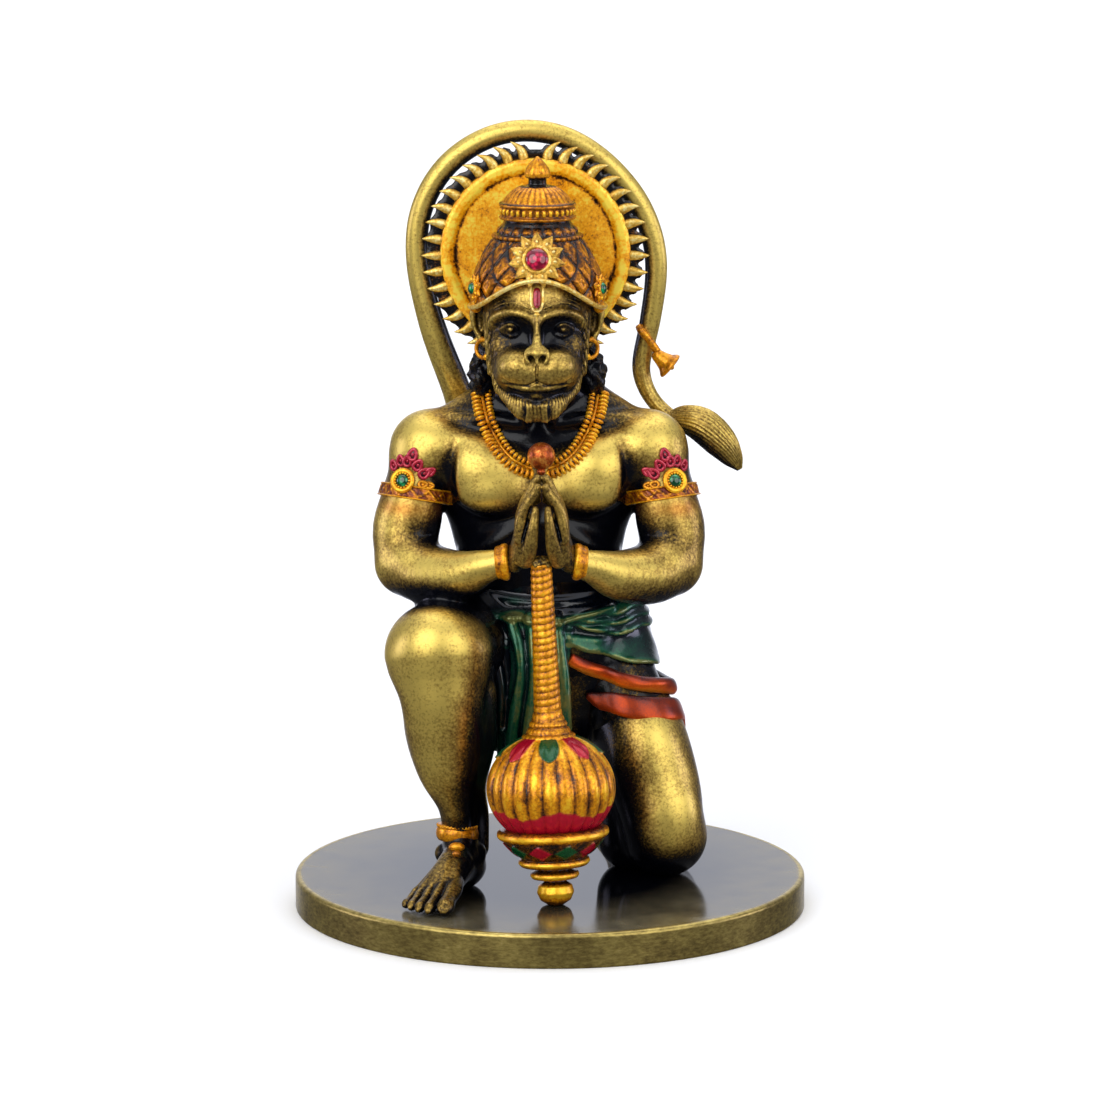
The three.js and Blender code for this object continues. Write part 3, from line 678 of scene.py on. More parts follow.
def sculptLegs(clay):
    # the raised leg on its foot, and the kneeling leg with its shin and toes behind
    limb(clay, raisedThigh, 1.2)
    limb(clay, raisedShin, 1.6, steps=6)
    oval(clay, (-13.0, -12.6, 33.8), (3.6, 2.9, 3.3), 1.8)           # kneecap
    oval(clay, (-9.6, -8.0, 23.2), (2.7, 3.6, 5.6), 1.6)             # inner calf, and its edge
    limb(clay, [(-8.4, -8.0, 27.0, 2.2), (-8.5, -8.2, 22.0, 2.2), (-9.3, -7.8, 16.5, 1.9),
                (-8.8, -6.9, 12.3, 1.7), (-8.8, -6.9, 8.5, 1.7)], 1.4)
    oval(clay, (-13.8, -7.8, 24.0), (2.7, 3.4, 5.2), 1.6)            # outer calf
    limb(clay, [(-12.4, -13.6, 27.5, 1.0), (-11.9, -12.6, 21, 0.9), (-11.0, -11.0, 13.5, 0.8)], 1.4)
    limb(clay, kneelingThigh, 1.2, steps=6)
    oval(clay, (13.0, -4.6, 11.4), (4.0, 3.0, 4.4), 1.8)             # kneecap
    oval(clay, (11.0, -3.4, 17.5), (3.8, 3.2, 6.0), 2.0)             # front of the thigh
    limb(clay, kneelingShin, 1.6, steps=5)
    oval(clay, (12.6, 4.5, 8.6), (4.6, 5.2, 4.3), 1.5)
    limb(clay, [(8.2, 3.0, 23, 4.0, 4.2), (8.9, 2.4, 15, 3.9, 4.2), (9.4, 2.2, 7.4, 3.8, 4.0)], 1.2)
    keepAbove(clay, 4.0)
    toesOf(clay, {"root": (5.8, 22.4, 5.1), "across": (4.6, -0.6, 0), "reach": (-0.4, 3.2, -0.2),
                  "curve": 0.4, "size": 0.72, "steps": 3})


def toesOf(clay, look):
    # five toes side by side, the first the biggest; each is two short bulges and a pad
    root, across, reach = (np.array(look[key], float) for key in ("root", "across", "reach"))
    for k in range(5):
        size = look["size"] * (1.32 if k == 0 else 0.95 - 0.07 * k)
        start = root + across * k / 4 - reach * look["curve"] * (k / 4) ** 2
        length = reach * (1.0 - 0.09 * k)
        drop = np.array([0, 0, -0.25])
        limb(clay, [(*(start - 0.5 * length), size * 0.85), (*(start + 0.25 * length), size * 0.8),
                    (*(start + 0.62 * length + (0, 0, 0.12)), size * 0.92),
                    (*(start + 1.0 * length + drop), size * 0.62)], 0.35, steps=look["steps"])
        nail = start + 0.84 * length + np.array([0, 0, size * 0.72])
        oval(clay, nail, (size * 0.62, size * 0.55, size * 0.16), 0.08)


footLook = {"step": 0.17, "low": (-18.5, -24, 3.7), "high": (-5, -3, 13.5),
            "paint": {"base": 0.1, "fine": 2.2, "middle": 1.2, "most": 0.62}}
# painted shade on the inner side of the front foot, the side turned from the key light
footShadeSpots = [(-8.2, -14.0, 7.0, 2.0, 6.0, 5.0, -0.5)]
# toes of the front foot, the big one first, as (knuckle, tip, radius)
frontToes = [((-11.0, -18.0, 6.1), (-12.0, -22.4, 4.95), 1.0),
             ((-12.55, -18.2, 6.1), (-13.75, -22.1, 4.8), 0.66),
             ((-13.7, -17.9, 5.9), (-14.9, -21.3, 4.75), 0.62),
             ((-14.75, -17.4, 5.6), (-15.8, -20.3, 4.7), 0.58),
             ((-15.6, -16.8, 5.2), (-16.5, -19.1, 4.65), 0.54)]


def sculptFrontFoot(clay):
    # ankle and instep, then each toe as a run of bulges with a nail
    limb(clay, [(-10.5, -8.8, 11.6, 1.95, 2.4), (-10.3, -8.7, 8.4, 2.1, 2.6),
                (-10.2, -8.2, 6.4, 2.3, 2.8)], 1.0)
    limb(clay, [(-9.8, -7.0, 6.3, 2.3, 2.2), (-10.6, -11.0, 7.4, 2.1, 2.5), (-11.8, -14.6, 6.6, 2.2, 1.9),
                (-12.8, -17.2, 5.6, 2.6, 1.2)], 1.2, (1, -0.35, 0))
    oval(clay, (-8.4, -8.4, 8.3), (0.9, 1.1, 1.0), 1.0)              # inner ankle bone
    oval(clay, (-12.5, -8.0, 8.0), (0.9, 1.1, 1.0), 1.0)
    for knuckle, tip, size in frontToes:
        knuckle, tip = np.array(knuckle), np.array(tip)
        run = tip - knuckle
        limb(clay, [(*(knuckle - 0.4 * run), size * 0.7), (*knuckle, size * 0.98),
                    (*(knuckle + 0.5 * run), size * 0.86), (*(tip - 0.12 * run), size),
                    (*(tip + 0.06 * run), size * 0.6)], 0.14)
        oval(clay, tip - 0.1 * run + (0, -0.1 * size, size * 0.9), (size * 0.62, size * 0.7, size * 0.16),
             0.08)
        limb(clay, [(*(knuckle - 0.2 * run + (0, 0, 0.3)), 0.3),
                    (*(0.45 * knuckle + (-5.7, -6.4, 5.6)), 0.25)], 0.5)
    keepAbove(clay, 4.0)


handLook = {"step": 0.15, "low": (-7, -18, 41), "high": (5, -7, 55),
            "paint": {"base": 0.25, "fine": 2.8, "broad": 0.6, "brushAndLight": 0.3, "most": 0.68}}
# painted shade under the hands, where they meet the bangles at the wrists
handShadeSpots = [(-4.6, -12, 42.9, 1.5, 3, 1.8, -0.6), (2.7, -12, 42.9, 1.5, 3, 1.8, -0.6)]


def sculptHands(clay):
    # joined palms: the thumbs show in front, each first finger outside its thumb, three fingers behind
    middle = -0.95
    fingers = [(-14.6, 52.2, 0.72), (-13.3, 53.0, 0.76), (-11.9, 52.6, 0.74), (-10.6, 50.8, 0.66)]
    for side in (-1, 1):
        x = lambda reach: middle + side * reach
        limb(clay, [(x(3.1), -11.6, 43.3, 1.2, 1.8), (x(2.6), -12.2, 44.6, 1.1, 2.3),
                    (x(2.2), -12.6, 46.8, 0.9, 2.6), (x(1.9), -12.7, 48.4, 0.7, 2.5)], 0.6)
        for k, (y, top, size) in enumerate(fingers):
            limb(clay, [(x(2.5), y, 46.2, size * 0.95), (x(2.3), y, 48.6, size * 0.92),
                        (x(1.6), y, 50.4, size * 0.88), (x(0.86), y, top - 0.8, size * 0.8),
                        (x(0.5), y, top, size * 0.66)], 0.12)
            oval(clay, (x(0.6), y - 0.6 * size, top - 0.1), (0.32, 0.16, 0.4), 0.06)
        limb(clay, [(x(1.9), -13.4, 43.8, 1.15, 1.2), (x(1.3), -14.7, 45.5, 0.86, 0.95),
                    (x(1.0), -15.2, 47.4, 0.66, 0.8), (x(0.8), -15.2, 49.0, 0.56, 0.66),
                    (x(0.74), -15.1, 49.7, 0.42, 0.5)], 0.14)
        oval(clay, (x(0.74), -15.7, 49.4), (0.28, 0.14, 0.36), 0.06)
        limb(clay, [(x(2.25), -15.4, 45.9, 0.12, 0.5), (x(1.85), -15.6, 47.4, 0.22, 0.8),
                    (x(1.5), -15.5, 48.8, 0.22, 0.8), (x(1.2), -15.3, 50.0, 0.2, 0.7)], 0.12, (1, 0, 0),
             carve=True)
        limb(clay, [(x(3.0), -15.4, 46.6, 0.1), (x(2.75), -15.7, 48.4, 0.1), (x(2.0), -15.7, 50.4, 0.08)],
             0.2)
    limb(clay, [(middle, -14.5, 44.6, 0.3, 2.6), (middle, -15.5, 49.6, 0.16, 2.0)], 0.3, carve=True)
    for side in (-1, 1):
        for k in range(3):   # lines between the fingers, seen at the sides
            y = (fingers[k][0] + fingers[k + 1][0]) / 2
            limb(clay, [(middle + side * 3.5, y, 47.2, 0.16), (middle + side * 2.9, y, 49.6, 0.2),
                        (middle + side * 1.7, y, 51.6, 0.16)], 0.14, carve=True)


# the head: a monkey's face with heavy brows, two round muzzle lobes and a fringe of beard

headLook = {"step": 0.13, "low": (-9.6, -12.6, 56.2), "high": (6.6, 7.2, 77.0),
            "paint": {"base": 0.5, "fine": 1.1, "middle": 0.8, "broad": 0.6, "brushAndLight": 0.3, "relief": 1.8,
                      "most": 0.82}}


def sculptHead(clay):
    # skull, face and muzzle, then brow, eye, cheek and ear on each side, then nose, mouth and beard
    x = lambda reach: faceLine + reach
    oval(clay, (x(0), -0.5, 71.6), (6.2, 6.7, 6.6), 0.8)             # skull, under the crown
    limb(clay, [(x(0), -2.4, 61.4, 3.6, 4.2), (x(0), -2.2, 63.2, 4.75, 5.0), (x(0), -1.8, 66.2, 5.1, 5.7),
                (x(0), -1.0, 70, 5.6, 6.4)], 1.2)
    oval(clay, (x(0), -5.8, 63.9), (3.7, 3.6, 3.0), 1.2)             # muzzle, chin and jaw
    oval(clay, (x(0), -5.8, 60.9), (2.4, 2.8, 1.9), 1.0)
    for side in (-1, 1):
        s = lambda reach: faceLine + side * reach
        # brow: a thick roll that arches over the eye and runs into the nose
        limb(clay, [(s(0.3), -7.7, 70.3, 0.25), (s(1.5), -7.7, 70.95, 0.28), (s(3.2), -6.9, 71.1, 0.32),
                    (s(4.7), -5.6, 70.5, 0.3), (s(5.3), -4.4, 69.4, 0.3)], 1.1)
        for rise, size in ((0.5, 0.09), (0.95, 0.07), (1.4, 0.06)):   # lines over the brow
            limb(clay, [(s(0.8), -7.85 + 0.12 * rise, 71.2 + rise, size),
                        (s(2.4), -7.35, 71.75 + rise, size), (s(3.8), -6.35, 71.6 + rise, size),
                        (s(4.9), -5.1, 70.9 + rise, size)], 0.3)
        oval(clay, (s(2.8), -8.0, 69.0), (2.2, 1.75, 1.4), 0.8, carve=True)    # eye socket
        oval(clay, (s(1.5), -8.5, 68.3), (1.0, 1.6, 1.5), 0.8, carve=True)
        oval(clay, (s(4.1), -5.2, 66.9), (1.2, 1.2, 1.6), 1.3)                 # cheek bone
        oval(clay, (s(3.0), -5.55, 69.15), (1.2, 1.1, 1.0), 0.25)              # eyeball
        limb(clay, [(s(1.85), -6.2, 68.9, 0.13), (s(2.45), -6.65, 69.5, 0.2), (s(3.2), -6.65, 69.7, 0.22),
                    (s(4.2), -6.0, 69.1, 0.14)], 0.28)                         # upper lid, half shut
        limb(clay, [(s(1.9), -6.2, 68.75, 0.1), (s(2.9), -6.55, 68.35, 0.14), (s(4.1), -5.95, 68.85, 0.1)],
             0.3)                                                              # lower lid
        oval(clay, (s(3.0), -6.6, 69.1), (0.32, 0.24, 0.26), 0.15)             # pupil
        limb(clay, [(s(1.6), -6.3, 68.0, 0.1), (s(2.9), -6.2, 67.4, 0.12), (s(4.1), -5.6, 68.0, 0.1)], 0.4)
        # muzzle lobe and the cheek behind it
        oval(clay, (s(2.1), -7.75, 65.0), (2.35, 2.2, 2.05), 1.0)
        oval(clay, (s(3.1), -5.6, 64.5), (1.9, 2.4, 2.2), 1.2)
        # nostril wing and nostril
        limb(clay, [(s(0.75), -9.55, 67.3, 0.3), (s(1.15), -9.75, 66.9, 0.32), (s(1.2), -9.9, 66.2, 0.3),
                    (s(0.95), -10.0, 65.75, 0.22)], 0.4)
        limb(clay, [(s(1.65), -9.5, 67.2, 0.12), (s(1.75), -9.9, 66.2, 0.14), (s(1.3), -10.1, 65.3, 0.1)],
             0.4, carve=True)                                                  # crease round the wing
        # ear: a thin curved rim round a hollow
        limb(clay, [(s(6.3), 0.2, 71.2, 0.45), (s(7.35), 0.3, 70.3, 0.42), (s(7.2), 0.2, 68.8, 0.38),
                    (s(6.6), 0.0, 67.3, 0.36), (s(6.0), -0.2, 66.5, 0.4)], 0.25)
        oval(clay, (s(6.2), 0.9, 69.0), (0.8, 1.0, 2.2), 0.4)
        oval(clay, (s(6.7), -0.4, 69.2), (0.45, 0.8, 1.2), 0.3, carve=True)
        # hair's edge along the cheek, from the temple to the jaw
        limb(clay, [(s(5.45), -3.2, 70.2, 0.4), (s(5.25), -3.4, 67.0, 0.42), (s(4.95), -3.6, 64.0, 0.42),
                    (s(4.35), -4.2, 61.9, 0.45)], 0.4)
        limb(clay, [(s(5.85), -1.6, 70.4, 0.4), (s(5.6), -1.8, 67.0, 0.45), (s(5.25), -2.0, 63.6, 0.45)],
             0.3)
    # nose: a thin straight bridge that widens to a flat round tip
    limb(clay, [(x(0), -6.5, 70.9, 0.4, 1.8), (x(0), -7.3, 69.4, 0.38, 1.8), (x(0), -8.1, 67.9, 0.48, 1.8),
                (x(0), -10.0, 67.1, 0.7, 0.5)], 0.5)
    oval(clay, (x(0), -10.1, 66.85), (0.95, 0.6, 0.5), 0.45)
    limb(clay, [(x(0), -10.45, 66.7, 0.2), (x(0), -10.55, 65.7, 0.16)], 0.25)
    # mouth: a crease that dips from its middle peak and turns up at the corners, a thin lip under it, and
    # a groove with two fine ridges from the nose down to it
    for side in (-1, 1):
        lip = [(x(side * reach), height) for reach, height in mouthLine]
        limb(clay, [(*p, 0.15) for p in traced(clay, lip, -0.02)], 0.1, (0, 0, 1), steps=1)
        limb(clay, [(*p, 0.17) for p in traced(clay, [(a, b + 0.3) for a, b in lip], 0.02)], 0.1, (0, 0, 1),
             steps=1, carve=True)
        limb(clay, [(*p, 0.09) for p in traced(clay, [(x(side * 0.3), 65.2), (x(side * 0.26), 64.0)], 0)],
             0.15, steps=1)
    limb(clay, [(*p, 0.15) for p in traced(clay, [(x(0), 65.3), (x(0), 63.5)], 0)], 0.12, steps=1,
         carve=True)
    for side in (-1, 1):
        oval(clay, (x(side * 0.7), -10.6, 66.35), (0.36, 0.95, 0.36), 0.1, carve=True)     # nostril
    # lower lip, the hollow under it, the small mound and the notch over the beard
    limb(clay, [(x(-2.6), -7.5, 62.5, 0.1), (x(-1.3), -8.7, 62.4, 0.22), (x(0), -9.0, 62.5, 0.3),
                (x(1.3), -8.7, 62.4, 0.22), (x(2.6), -7.5, 62.5, 0.1)], 0.7, (0, 0, 1))
    limb(clay, [(x(-3.0), -7.3, 61.9, 0.3), (x(-1.3), -8.9, 61.6, 0.4), (x(1.3), -8.9, 61.6, 0.4),
                (x(3.0), -7.3, 61.9, 0.3)], 0.9, (0, 0, 1), carve=True)
    oval(clay, (x(0), -8.25, 61.8), (0.7, 0.6, 0.45), 0.5)
    oval(clay, (x(0), -9.0, 61.15), (0.42, 0.6, 0.3), 0.3, carve=True)
    # beard: a fringe along the jaw, fullest under the chin
    limb(clay, [(x(-4.3), -3.6, 62.2, 0.4, 0.6), (x(-3.5), -5.5, 61.2, 0.5, 0.65),
                (x(-2.4), -7.0, 60.5, 0.55, 0.85), (x(-1.0), -7.9, 59.9, 0.6, 1.15),
                (x(1.0), -7.9, 59.9, 0.6, 1.15), (x(2.4), -7.0, 60.5, 0.55, 0.85),
                (x(3.5), -5.5, 61.2, 0.5, 0.65), (x(4.3), -3.6, 62.2, 0.4, 0.6)], 0.5, (0, 1, 0.2))
    for side in (-1, 1):
        limb(clay, [(x(side * 0.7), -8.1, 60.6, 0.5, 0.8), (x(side), -7.9, 59.0, 0.45, 0.6)], 0.3)
    for side in (1, -1):
        limb(clay, [(x(side * 2.7), -6.6, 60.4, 0.6), (x(side * 1.9), -7.2, 59.5, 0.6)], 0.5)
    for side in (-1, 1):                                                       # the tuft's dark outline
        limb(clay, [(x(side * 0.85), -9.0, 60.9, 0.2), (x(side * 1.4), -8.8, 60.0, 0.22),
                    (x(side * 1.45), -8.5, 58.8, 0.2)], 0.15, carve=True)


mouthLine = [(0.0, 63.2), (0.5, 63.0), (1.25, 62.68), (2.3, 62.72), (3.2, 62.95), (3.9, 63.4)]
# eye sockets, nostrils, the mouth's crease, the hollow under the mouth and the outer cheeks are darkened as
# painted shade; a glint in each eye, a thin line along the lip and the muzzle's front, which has most of
# the gold, are brightened as painted highlights
faceShadeAndHighlightSpots = [(faceLine + side * reach, *rest) for side in (-1, 1) for reach, *rest in (
    (2.6, -6.8, 68.9, 1.9, 2.2, 1.25, -0.34), (1.7, -7.6, 68.0, 1.0, 2.2, 1.5, -0.2),
    (0.7, -10.4, 66.3, 0.4, 1.2, 0.4, -0.8), (3.0, -6.9, 69.15, 0.5, 1.0, 0.4, 0.45),
    (2.9, -7.0, 69.5, 1.5, 1.2, 0.9, -0.22), (3.4, -7.6, 71.2, 2.6, 1.6, 0.5, -0.22),
    (5.0, -5.5, 66.5, 1.6, 2.5, 2.5, -0.22), (2.0, -9.6, 65.3, 1.7, 1.6, 1.4, 0.22),
    (7.0, 0.2, 69, 0.9, 2.0, 2.4, 0.05), (2.0, -9.2, 63.9, 2.3, 2.2, 0.8, 0.2),
    (3.8, -5.8, 67.6, 1.6, 2.0, 1.2, -0.12), (4.3, -5.5, 72.4, 1.4, 2.5, 1.2, -0.2),
    (3.6, -5.0, 60.2, 1.6, 2.5, 1.2, -0.2), (1.4, -8.6, 59.9, 0.24, 1.2, 0.9, -0.5),
    (1.25, -9.8, 62.98, 1.0, 1.0, 0.14, -0.5), (3.0, -8.2, 63.15, 0.9, 1.4, 0.14, -0.5),
    (1.25, -9.8, 62.66, 1.2, 1.0, 0.12, 0.4), (2.9, -8.2, 62.85, 0.9, 1.4, 0.12, 0.4))]
faceShadeAndHighlightSpots += [(faceLine, *spot) for spot in (
    (-9.0, 62.0, 3.9, 2.5, 0.7, -0.6), (-9.0, 60.95, 0.9, 1.2, 0.22, -0.5),
    (-8.6, 61.8, 0.9, 1.2, 0.4, 0.25), (-8.6, 69, 0.5, 1.5, 2.4, 0.3), (-8.0, 59.6, 5.0, 3.0, 1.8, -0.2),
    (-8.4, 73.0, 3.6, 2.0, 1.0, 0.2), (-8.6, 61.9, 2.2, 1.5, 0.6, 0.22))]


def furRelief(points):
    # strokes of fur, raised by sin(2 pi a / spacing): a is the bearing round the head's middle, so
    # they run up and down; only on the beard, the face's hair edge and the crown of the ears
    reach, depth, height = points[:, 0] - faceLine, points[:, 1], points[:, 2]
    bearing = np.arctan2(reach, -(depth + 1.5))
    along = bearing * 7.0 + 0.08 * np.sin(height * 2.3 + bearing * 9)
    stroke = np.abs(np.sin(along * pi / 0.44))
    jaw = 61.3 + 0.06 * reach ** 2 - 0.5 * hump(reach, 1.2)
    beard = ramp(jaw - height, 0.2) * ramp(-depth - 1.5, 1.0)
    beard = beard * (0.55 + 0.75 * hump(jaw - height - 0.5, 0.7)) * 0.2
    edge = ramp(np.abs(reach) - 4.75, 0.35) * ramp(71 - height, 1)
    edge = edge * ramp(6.1 - np.abs(reach), 0.3) * ramp(0 - depth, 1.0)
    strand = np.abs(np.sin((height * 0.35 + depth * 1.2) * pi / 0.5))
    return beard * (stroke - 0.55) + edge * 0.14 * (strand - 0.5)


hairLook = {"step": 0.2, "low": (-11, -4, 52), "high": (8, 9.4, 74),
            "paint": {"base": -0.15, "relief": 0.6, "brushAndLight": 0.1, "broad": 0.5}}


def sculptHair(clay):
    # hair behind the ears that falls to the shoulders and down the back, in three masses
    limb(clay, [(faceLine, 2.9, 71, 6.4, 4.0), (faceLine, 3.3, 66, 6.8, 4.1), (faceLine, 4.1, 61, 7.0, 3.4),
                (faceLine, 5.4, 56.5, 6.2, 2.4), (faceLine, 6.2, 54.0, 4.4, 1.2)], 1.0)
    for side, stations in bothSides([(5.8, 1.0, 66.4, 1.0), (6.3, 0.8, 63.8, 1.5), (6.4, 0.9, 62.2, 1.5),
                                     (5.9, 2.6, 59.6, 1.3)], faceLine):
        limb(clay, stations, 0.8)


def curlRelief(points):
    # curls: two families of waves cross, and their product leaves round knots of hair
    x, y, z = points.T
    wave = np.sin(x * 3.1 + 0.9 * np.sin(z * 1.9)) * np.sin(z * 2.7 + 1.1 * np.sin(y * 2.2 + x * 1.3))
    strand = np.sin(x * 9 + 3 * np.sin(z * 2.7) + y * 6)
    fall = ramp(61 - z, 5)                     # lower down the curls turn into long locks
    lock = np.sin(x * 4.2 + 0.8 * np.sin(z * 0.9)) + 0.35 * strand
    return (1 - fall) * (0.24 * wave + 0.07 * strand) + fall * 0.16 * lock


# the hip cloth: folds that lie over one another round the hips, and a panel that hangs in front

clothLook = {"step": 0.22, "low": (-19, -12.5, 11.5), "high": (19, 18.5, 41.5),
             "paint": {"base": 0.48, "fine": 1.3, "middle": 1.0, "broad": 0.4, "brushAndLight": 0.2}}
hipAxis = (0.5, 4.4)
waistRolls = [(8.7, 7.7, 38.1, 1.4, 0.7), (9.3, 8.2, 36.6, 1.4, 0.7)]
# folds from the lowest flap to the waist: how far each stands out and its lower edge as (bearing, z)
foldEdges = [
    (0.3, [(-180, 27.5), (-90, 29.5), (-40, 31.5), (0, 32.3), (5, 32.1), (13, 31.7), (24, 31.0), (36, 30.4),
           (52, 29.5), (68, 28.7), (79, 28.4), (110, 27.8), (180, 27.5)]),
    (0.5, [(-180, 31.5), (-60, 33.0), (0, 34.7), (13, 34.3), (24, 33.6), (36, 32.9), (48, 32.6), (61, 32.7),
           (72, 33.0), (110, 32.4), (180, 31.5)]),
    (0.66, [(-180, 33.2), (-60, 34.2), (0, 35.0), (13, 34.9), (36, 34.0), (48, 33.8), (61, 34.0),
            (72, 34.2), (110, 33.8), (180, 33.2)]),
    (0.78, [(-180, 34.6), (-60, 35.0), (0, 35.3), (13, 35.4), (36, 35.0), (48, 34.9), (61, 35.2),
            (72, 35.3), (110, 35.0), (180, 34.6)])]
# folds of the hanging panel, each from top to bottom as (x, y, z, radius)
panelFolds = [
    [(-6.6, -4.4, 34.6, 0.8), (-6.5, -5.2, 31.4, 0.9), (-5.8, -5.7, 27.5, 0.8), (-5.6, -5.6, 23.5, 0.7),
     (-5.5, -5.4, 17.5, 0.6), (-5.0, -5.2, 13.6, 0.4)],
    [(-4.6, -5.3, 35.2, 0.6), (-3.9, -6.2, 32.6, 0.9), (-3.6, -6.5, 29.2, 1.0), (-4.0, -6.4, 25.0, 1.0),
     (-4.5, -6.1, 20.6, 0.8), (-4.1, -5.6, 14.2, 0.5)],
    [(-2.2, -5.6, 35.4, 0.8), (-1.9, -6.5, 32.0, 0.95), (-1.7, -6.8, 28.0, 1.0), (-2.2, -6.6, 23.4, 1.0),
     (-2.6, -6.2, 18.6, 0.8), (-2.5, -5.7, 13.4, 0.5)],
    [(0.9, -5.4, 35.0, 0.6), (1.2, -6.1, 31.5, 0.7), (1.6, -6.3, 27.5, 0.8), (1.7, -6.1, 22.0, 0.8),
     (1.4, -5.7, 14.4, 0.5)]]
# thin ridges and sunk creases as (x, z) rows with a radius, laid on whatever is there
clothRidges = [
    (0.42, [(-5.6, 35.1), (-4.4, 35.3), (-3.2, 35.2), (-1.7, 34.9), (0.7, 34.7), (2.9, 35.1), (5.2, 35.5),
            (7.2, 35.9)]),
    (0.14, [(-5.7, 34.6), (-4.9, 33.4), (-4.3, 31.6), (-4.0, 29.8)]),
    (0.14, [(0.9, 30.4), (1.5, 28.0), (2.1, 25.7), (2.4, 22.3)]),
    (0.12, [(0.9, 27.4), (1.2, 25.4), (1.5, 23.4), (1.8, 20.4)]),
    (0.12, [(1.5, 32.9), (3.6, 32.5), (6.2, 32.2), (8.8, 32.6)])]
clothCreases = [
    (0.4, [(-6.0, 34.6), (-5.2, 33.4), (-4.5, 31.7), (-4.2, 29.6), (-4.5, 27.4), (-5.0, 25.0),
           (-5.3, 22.6)]),
    (0.22, [(-2.8, 34.2), (-2.7, 31.5), (-2.6, 28.5), (-3.0, 25.5), (-3.5, 22.0)]),
    (0.2, [(1.6, 33.7), (3.6, 33.3), (6.0, 32.9), (8.6, 33.2)]),
    (0.16, [(2.0, 34.4), (4.2, 34.1), (6.6, 34.2), (8.8, 34.7)])]


def hipBearing(x, y):
    # degrees round the hips' axis: 0 in front, 90 at the viewer's right
    return np.degrees(np.arctan2(x - hipAxis[0], hipAxis[1] - y))


def edgeHeight(row, bearing):
    # height of a fold's lower edge, read between its stations
    return np.interp(bearing, [b for b, _ in row[1]], [z for _, z in row[1]])


def hoopLine(centre, oval, start, end, height, count):
    # part of a level oval round the hips: bearing 0 is the front and 90 the viewer's right
    bearing = np.radians(np.linspace(start, end, count))
    rise = height(np.degrees(bearing)) if callable(height) else height
    return np.stack([centre[0] + oval[0] * np.sin(bearing), centre[1] - oval[1] * np.cos(bearing),
                     centre[2] + rise + 0 * bearing], 1)


def sculptHips(clay):
    # the solid under the cloth: the hips and the tops of both thighs
    limb(clay, [(0.2, 4.4, 26.6, 9.9, 7.7), (0.3, 4.4, 30.6, 11.0, 8.3), (-0.3, 4.3, 33.6, 10.0, 7.9),
                (-0.6, 4.2, 36.6, 8.8, 7.2)], 0.8)
    limb(clay, [(-4.5, 7, 29.6, 7.3, 7.1), (-7.0, 2.6, 30.2, 6.9, 6.9), (-8.6, 0.4, 30.7, 6.6, 6.6)], 1.2)
    limb(clay, [(6.0, 5.2, 29.2, 6.4, 7.0), (7.7, 2.8, 26.2, 5.2, 6.3), (9.2, 1.4, 22.8, 5.4, 6.1)], 1.2)
    oval(clay, (1.0, -1.5, 31.5), (5.2, 3.2, 4.4), 1.6)


def sculptFolds(clay):
    # each fold is the skin of the hips moved out and kept above its lower edge, where it rolls over;
    # below the lowest edge and above the waist nothing is left
    cut, (x, y, z) = wholeGrid(clay)
    bearing = hipBearing(x, y)
    base = clay["field"].copy()
    folds = np.full_like(base, farAway)
    for row in foldEdges:
        edge = edgeHeight(row, bearing) + 0.12 * np.sin(bearing * 0.21)
        out = row[0] + 0.12 * hump(z - edge - 0.4, 0.4) - 0.2 * ramp(z - edge - 1.0, 2)
        layer, below = base - out, edge - z
        overlap = np.maximum(0.25 - np.abs(layer - below), 0)
        layer = np.maximum(layer, below) + overlap ** 2 / 1.0
        folds = np.minimum(folds, layer)
    clay["field"] = np.maximum(folds, z - 41.8).astype(np.float32)


def sculptCloth(clay):
    # folds, waist rolls and the hanging panel with its ridges and creases
    sculptHips(clay)
    sculptFolds(clay)
    for wide, deep, level, dip, size in waistRolls:
        line = hoopLine((-0.6, 4.1, level), (wide, deep), 0, 360, lambda b: -dip * np.cos(np.radians(b)),
                        37)
        limb(clay, [(*p, size) for p in line], 0.35, (0, 0, 1), steps=2)
    limb(clay, [(-1.8, -4.4, 35, 4.6, 1.2), (-2.0, -5.0, 30, 4.3, 1.2), (-1.9, -5.2, 24, 4.0, 1.0),
                (-1.6, -5.0, 14.4, 3.6, 0.8)], 0.4, (1, 0, 0))
    limb(clay, [(-6.6, -3.9, 31, 2.2, 0.9), (-6.8, -4.4, 26, 2.2, 0.7), (-6.4, -4.8, 20, 1.8, 0.6)], 0.4,
         (1, 0, 0))
    for fold in panelFolds:
        limb(clay, fold, 0.3, steps=4)
    for size, path in clothRidges:
        limb(clay, [(*p, size) for p in traced(clay, path, -0.1)], 0.25, steps=1)
    for size, path in clothCreases:
        limb(clay, [(*p, size) for p in traced(clay, path, 0.05)], 0.25, steps=1, carve=True)


def sculptUnderCloth(clay):
    # the tight wrap that shows between the flap and the hem band
    sculptHips(clay)
    cut, (x, y, z) = wholeGrid(clay)
    bearing = hipBearing(x, y)
    low, high = 22.9 - 0.05 * np.clip(bearing, 0, 60), edgeHeight(foldEdges[0], bearing) + 0.8
    clay["field"] = np.maximum(clay["field"] + 0.25, np.maximum(low - z, z - high)).astype(np.float32)


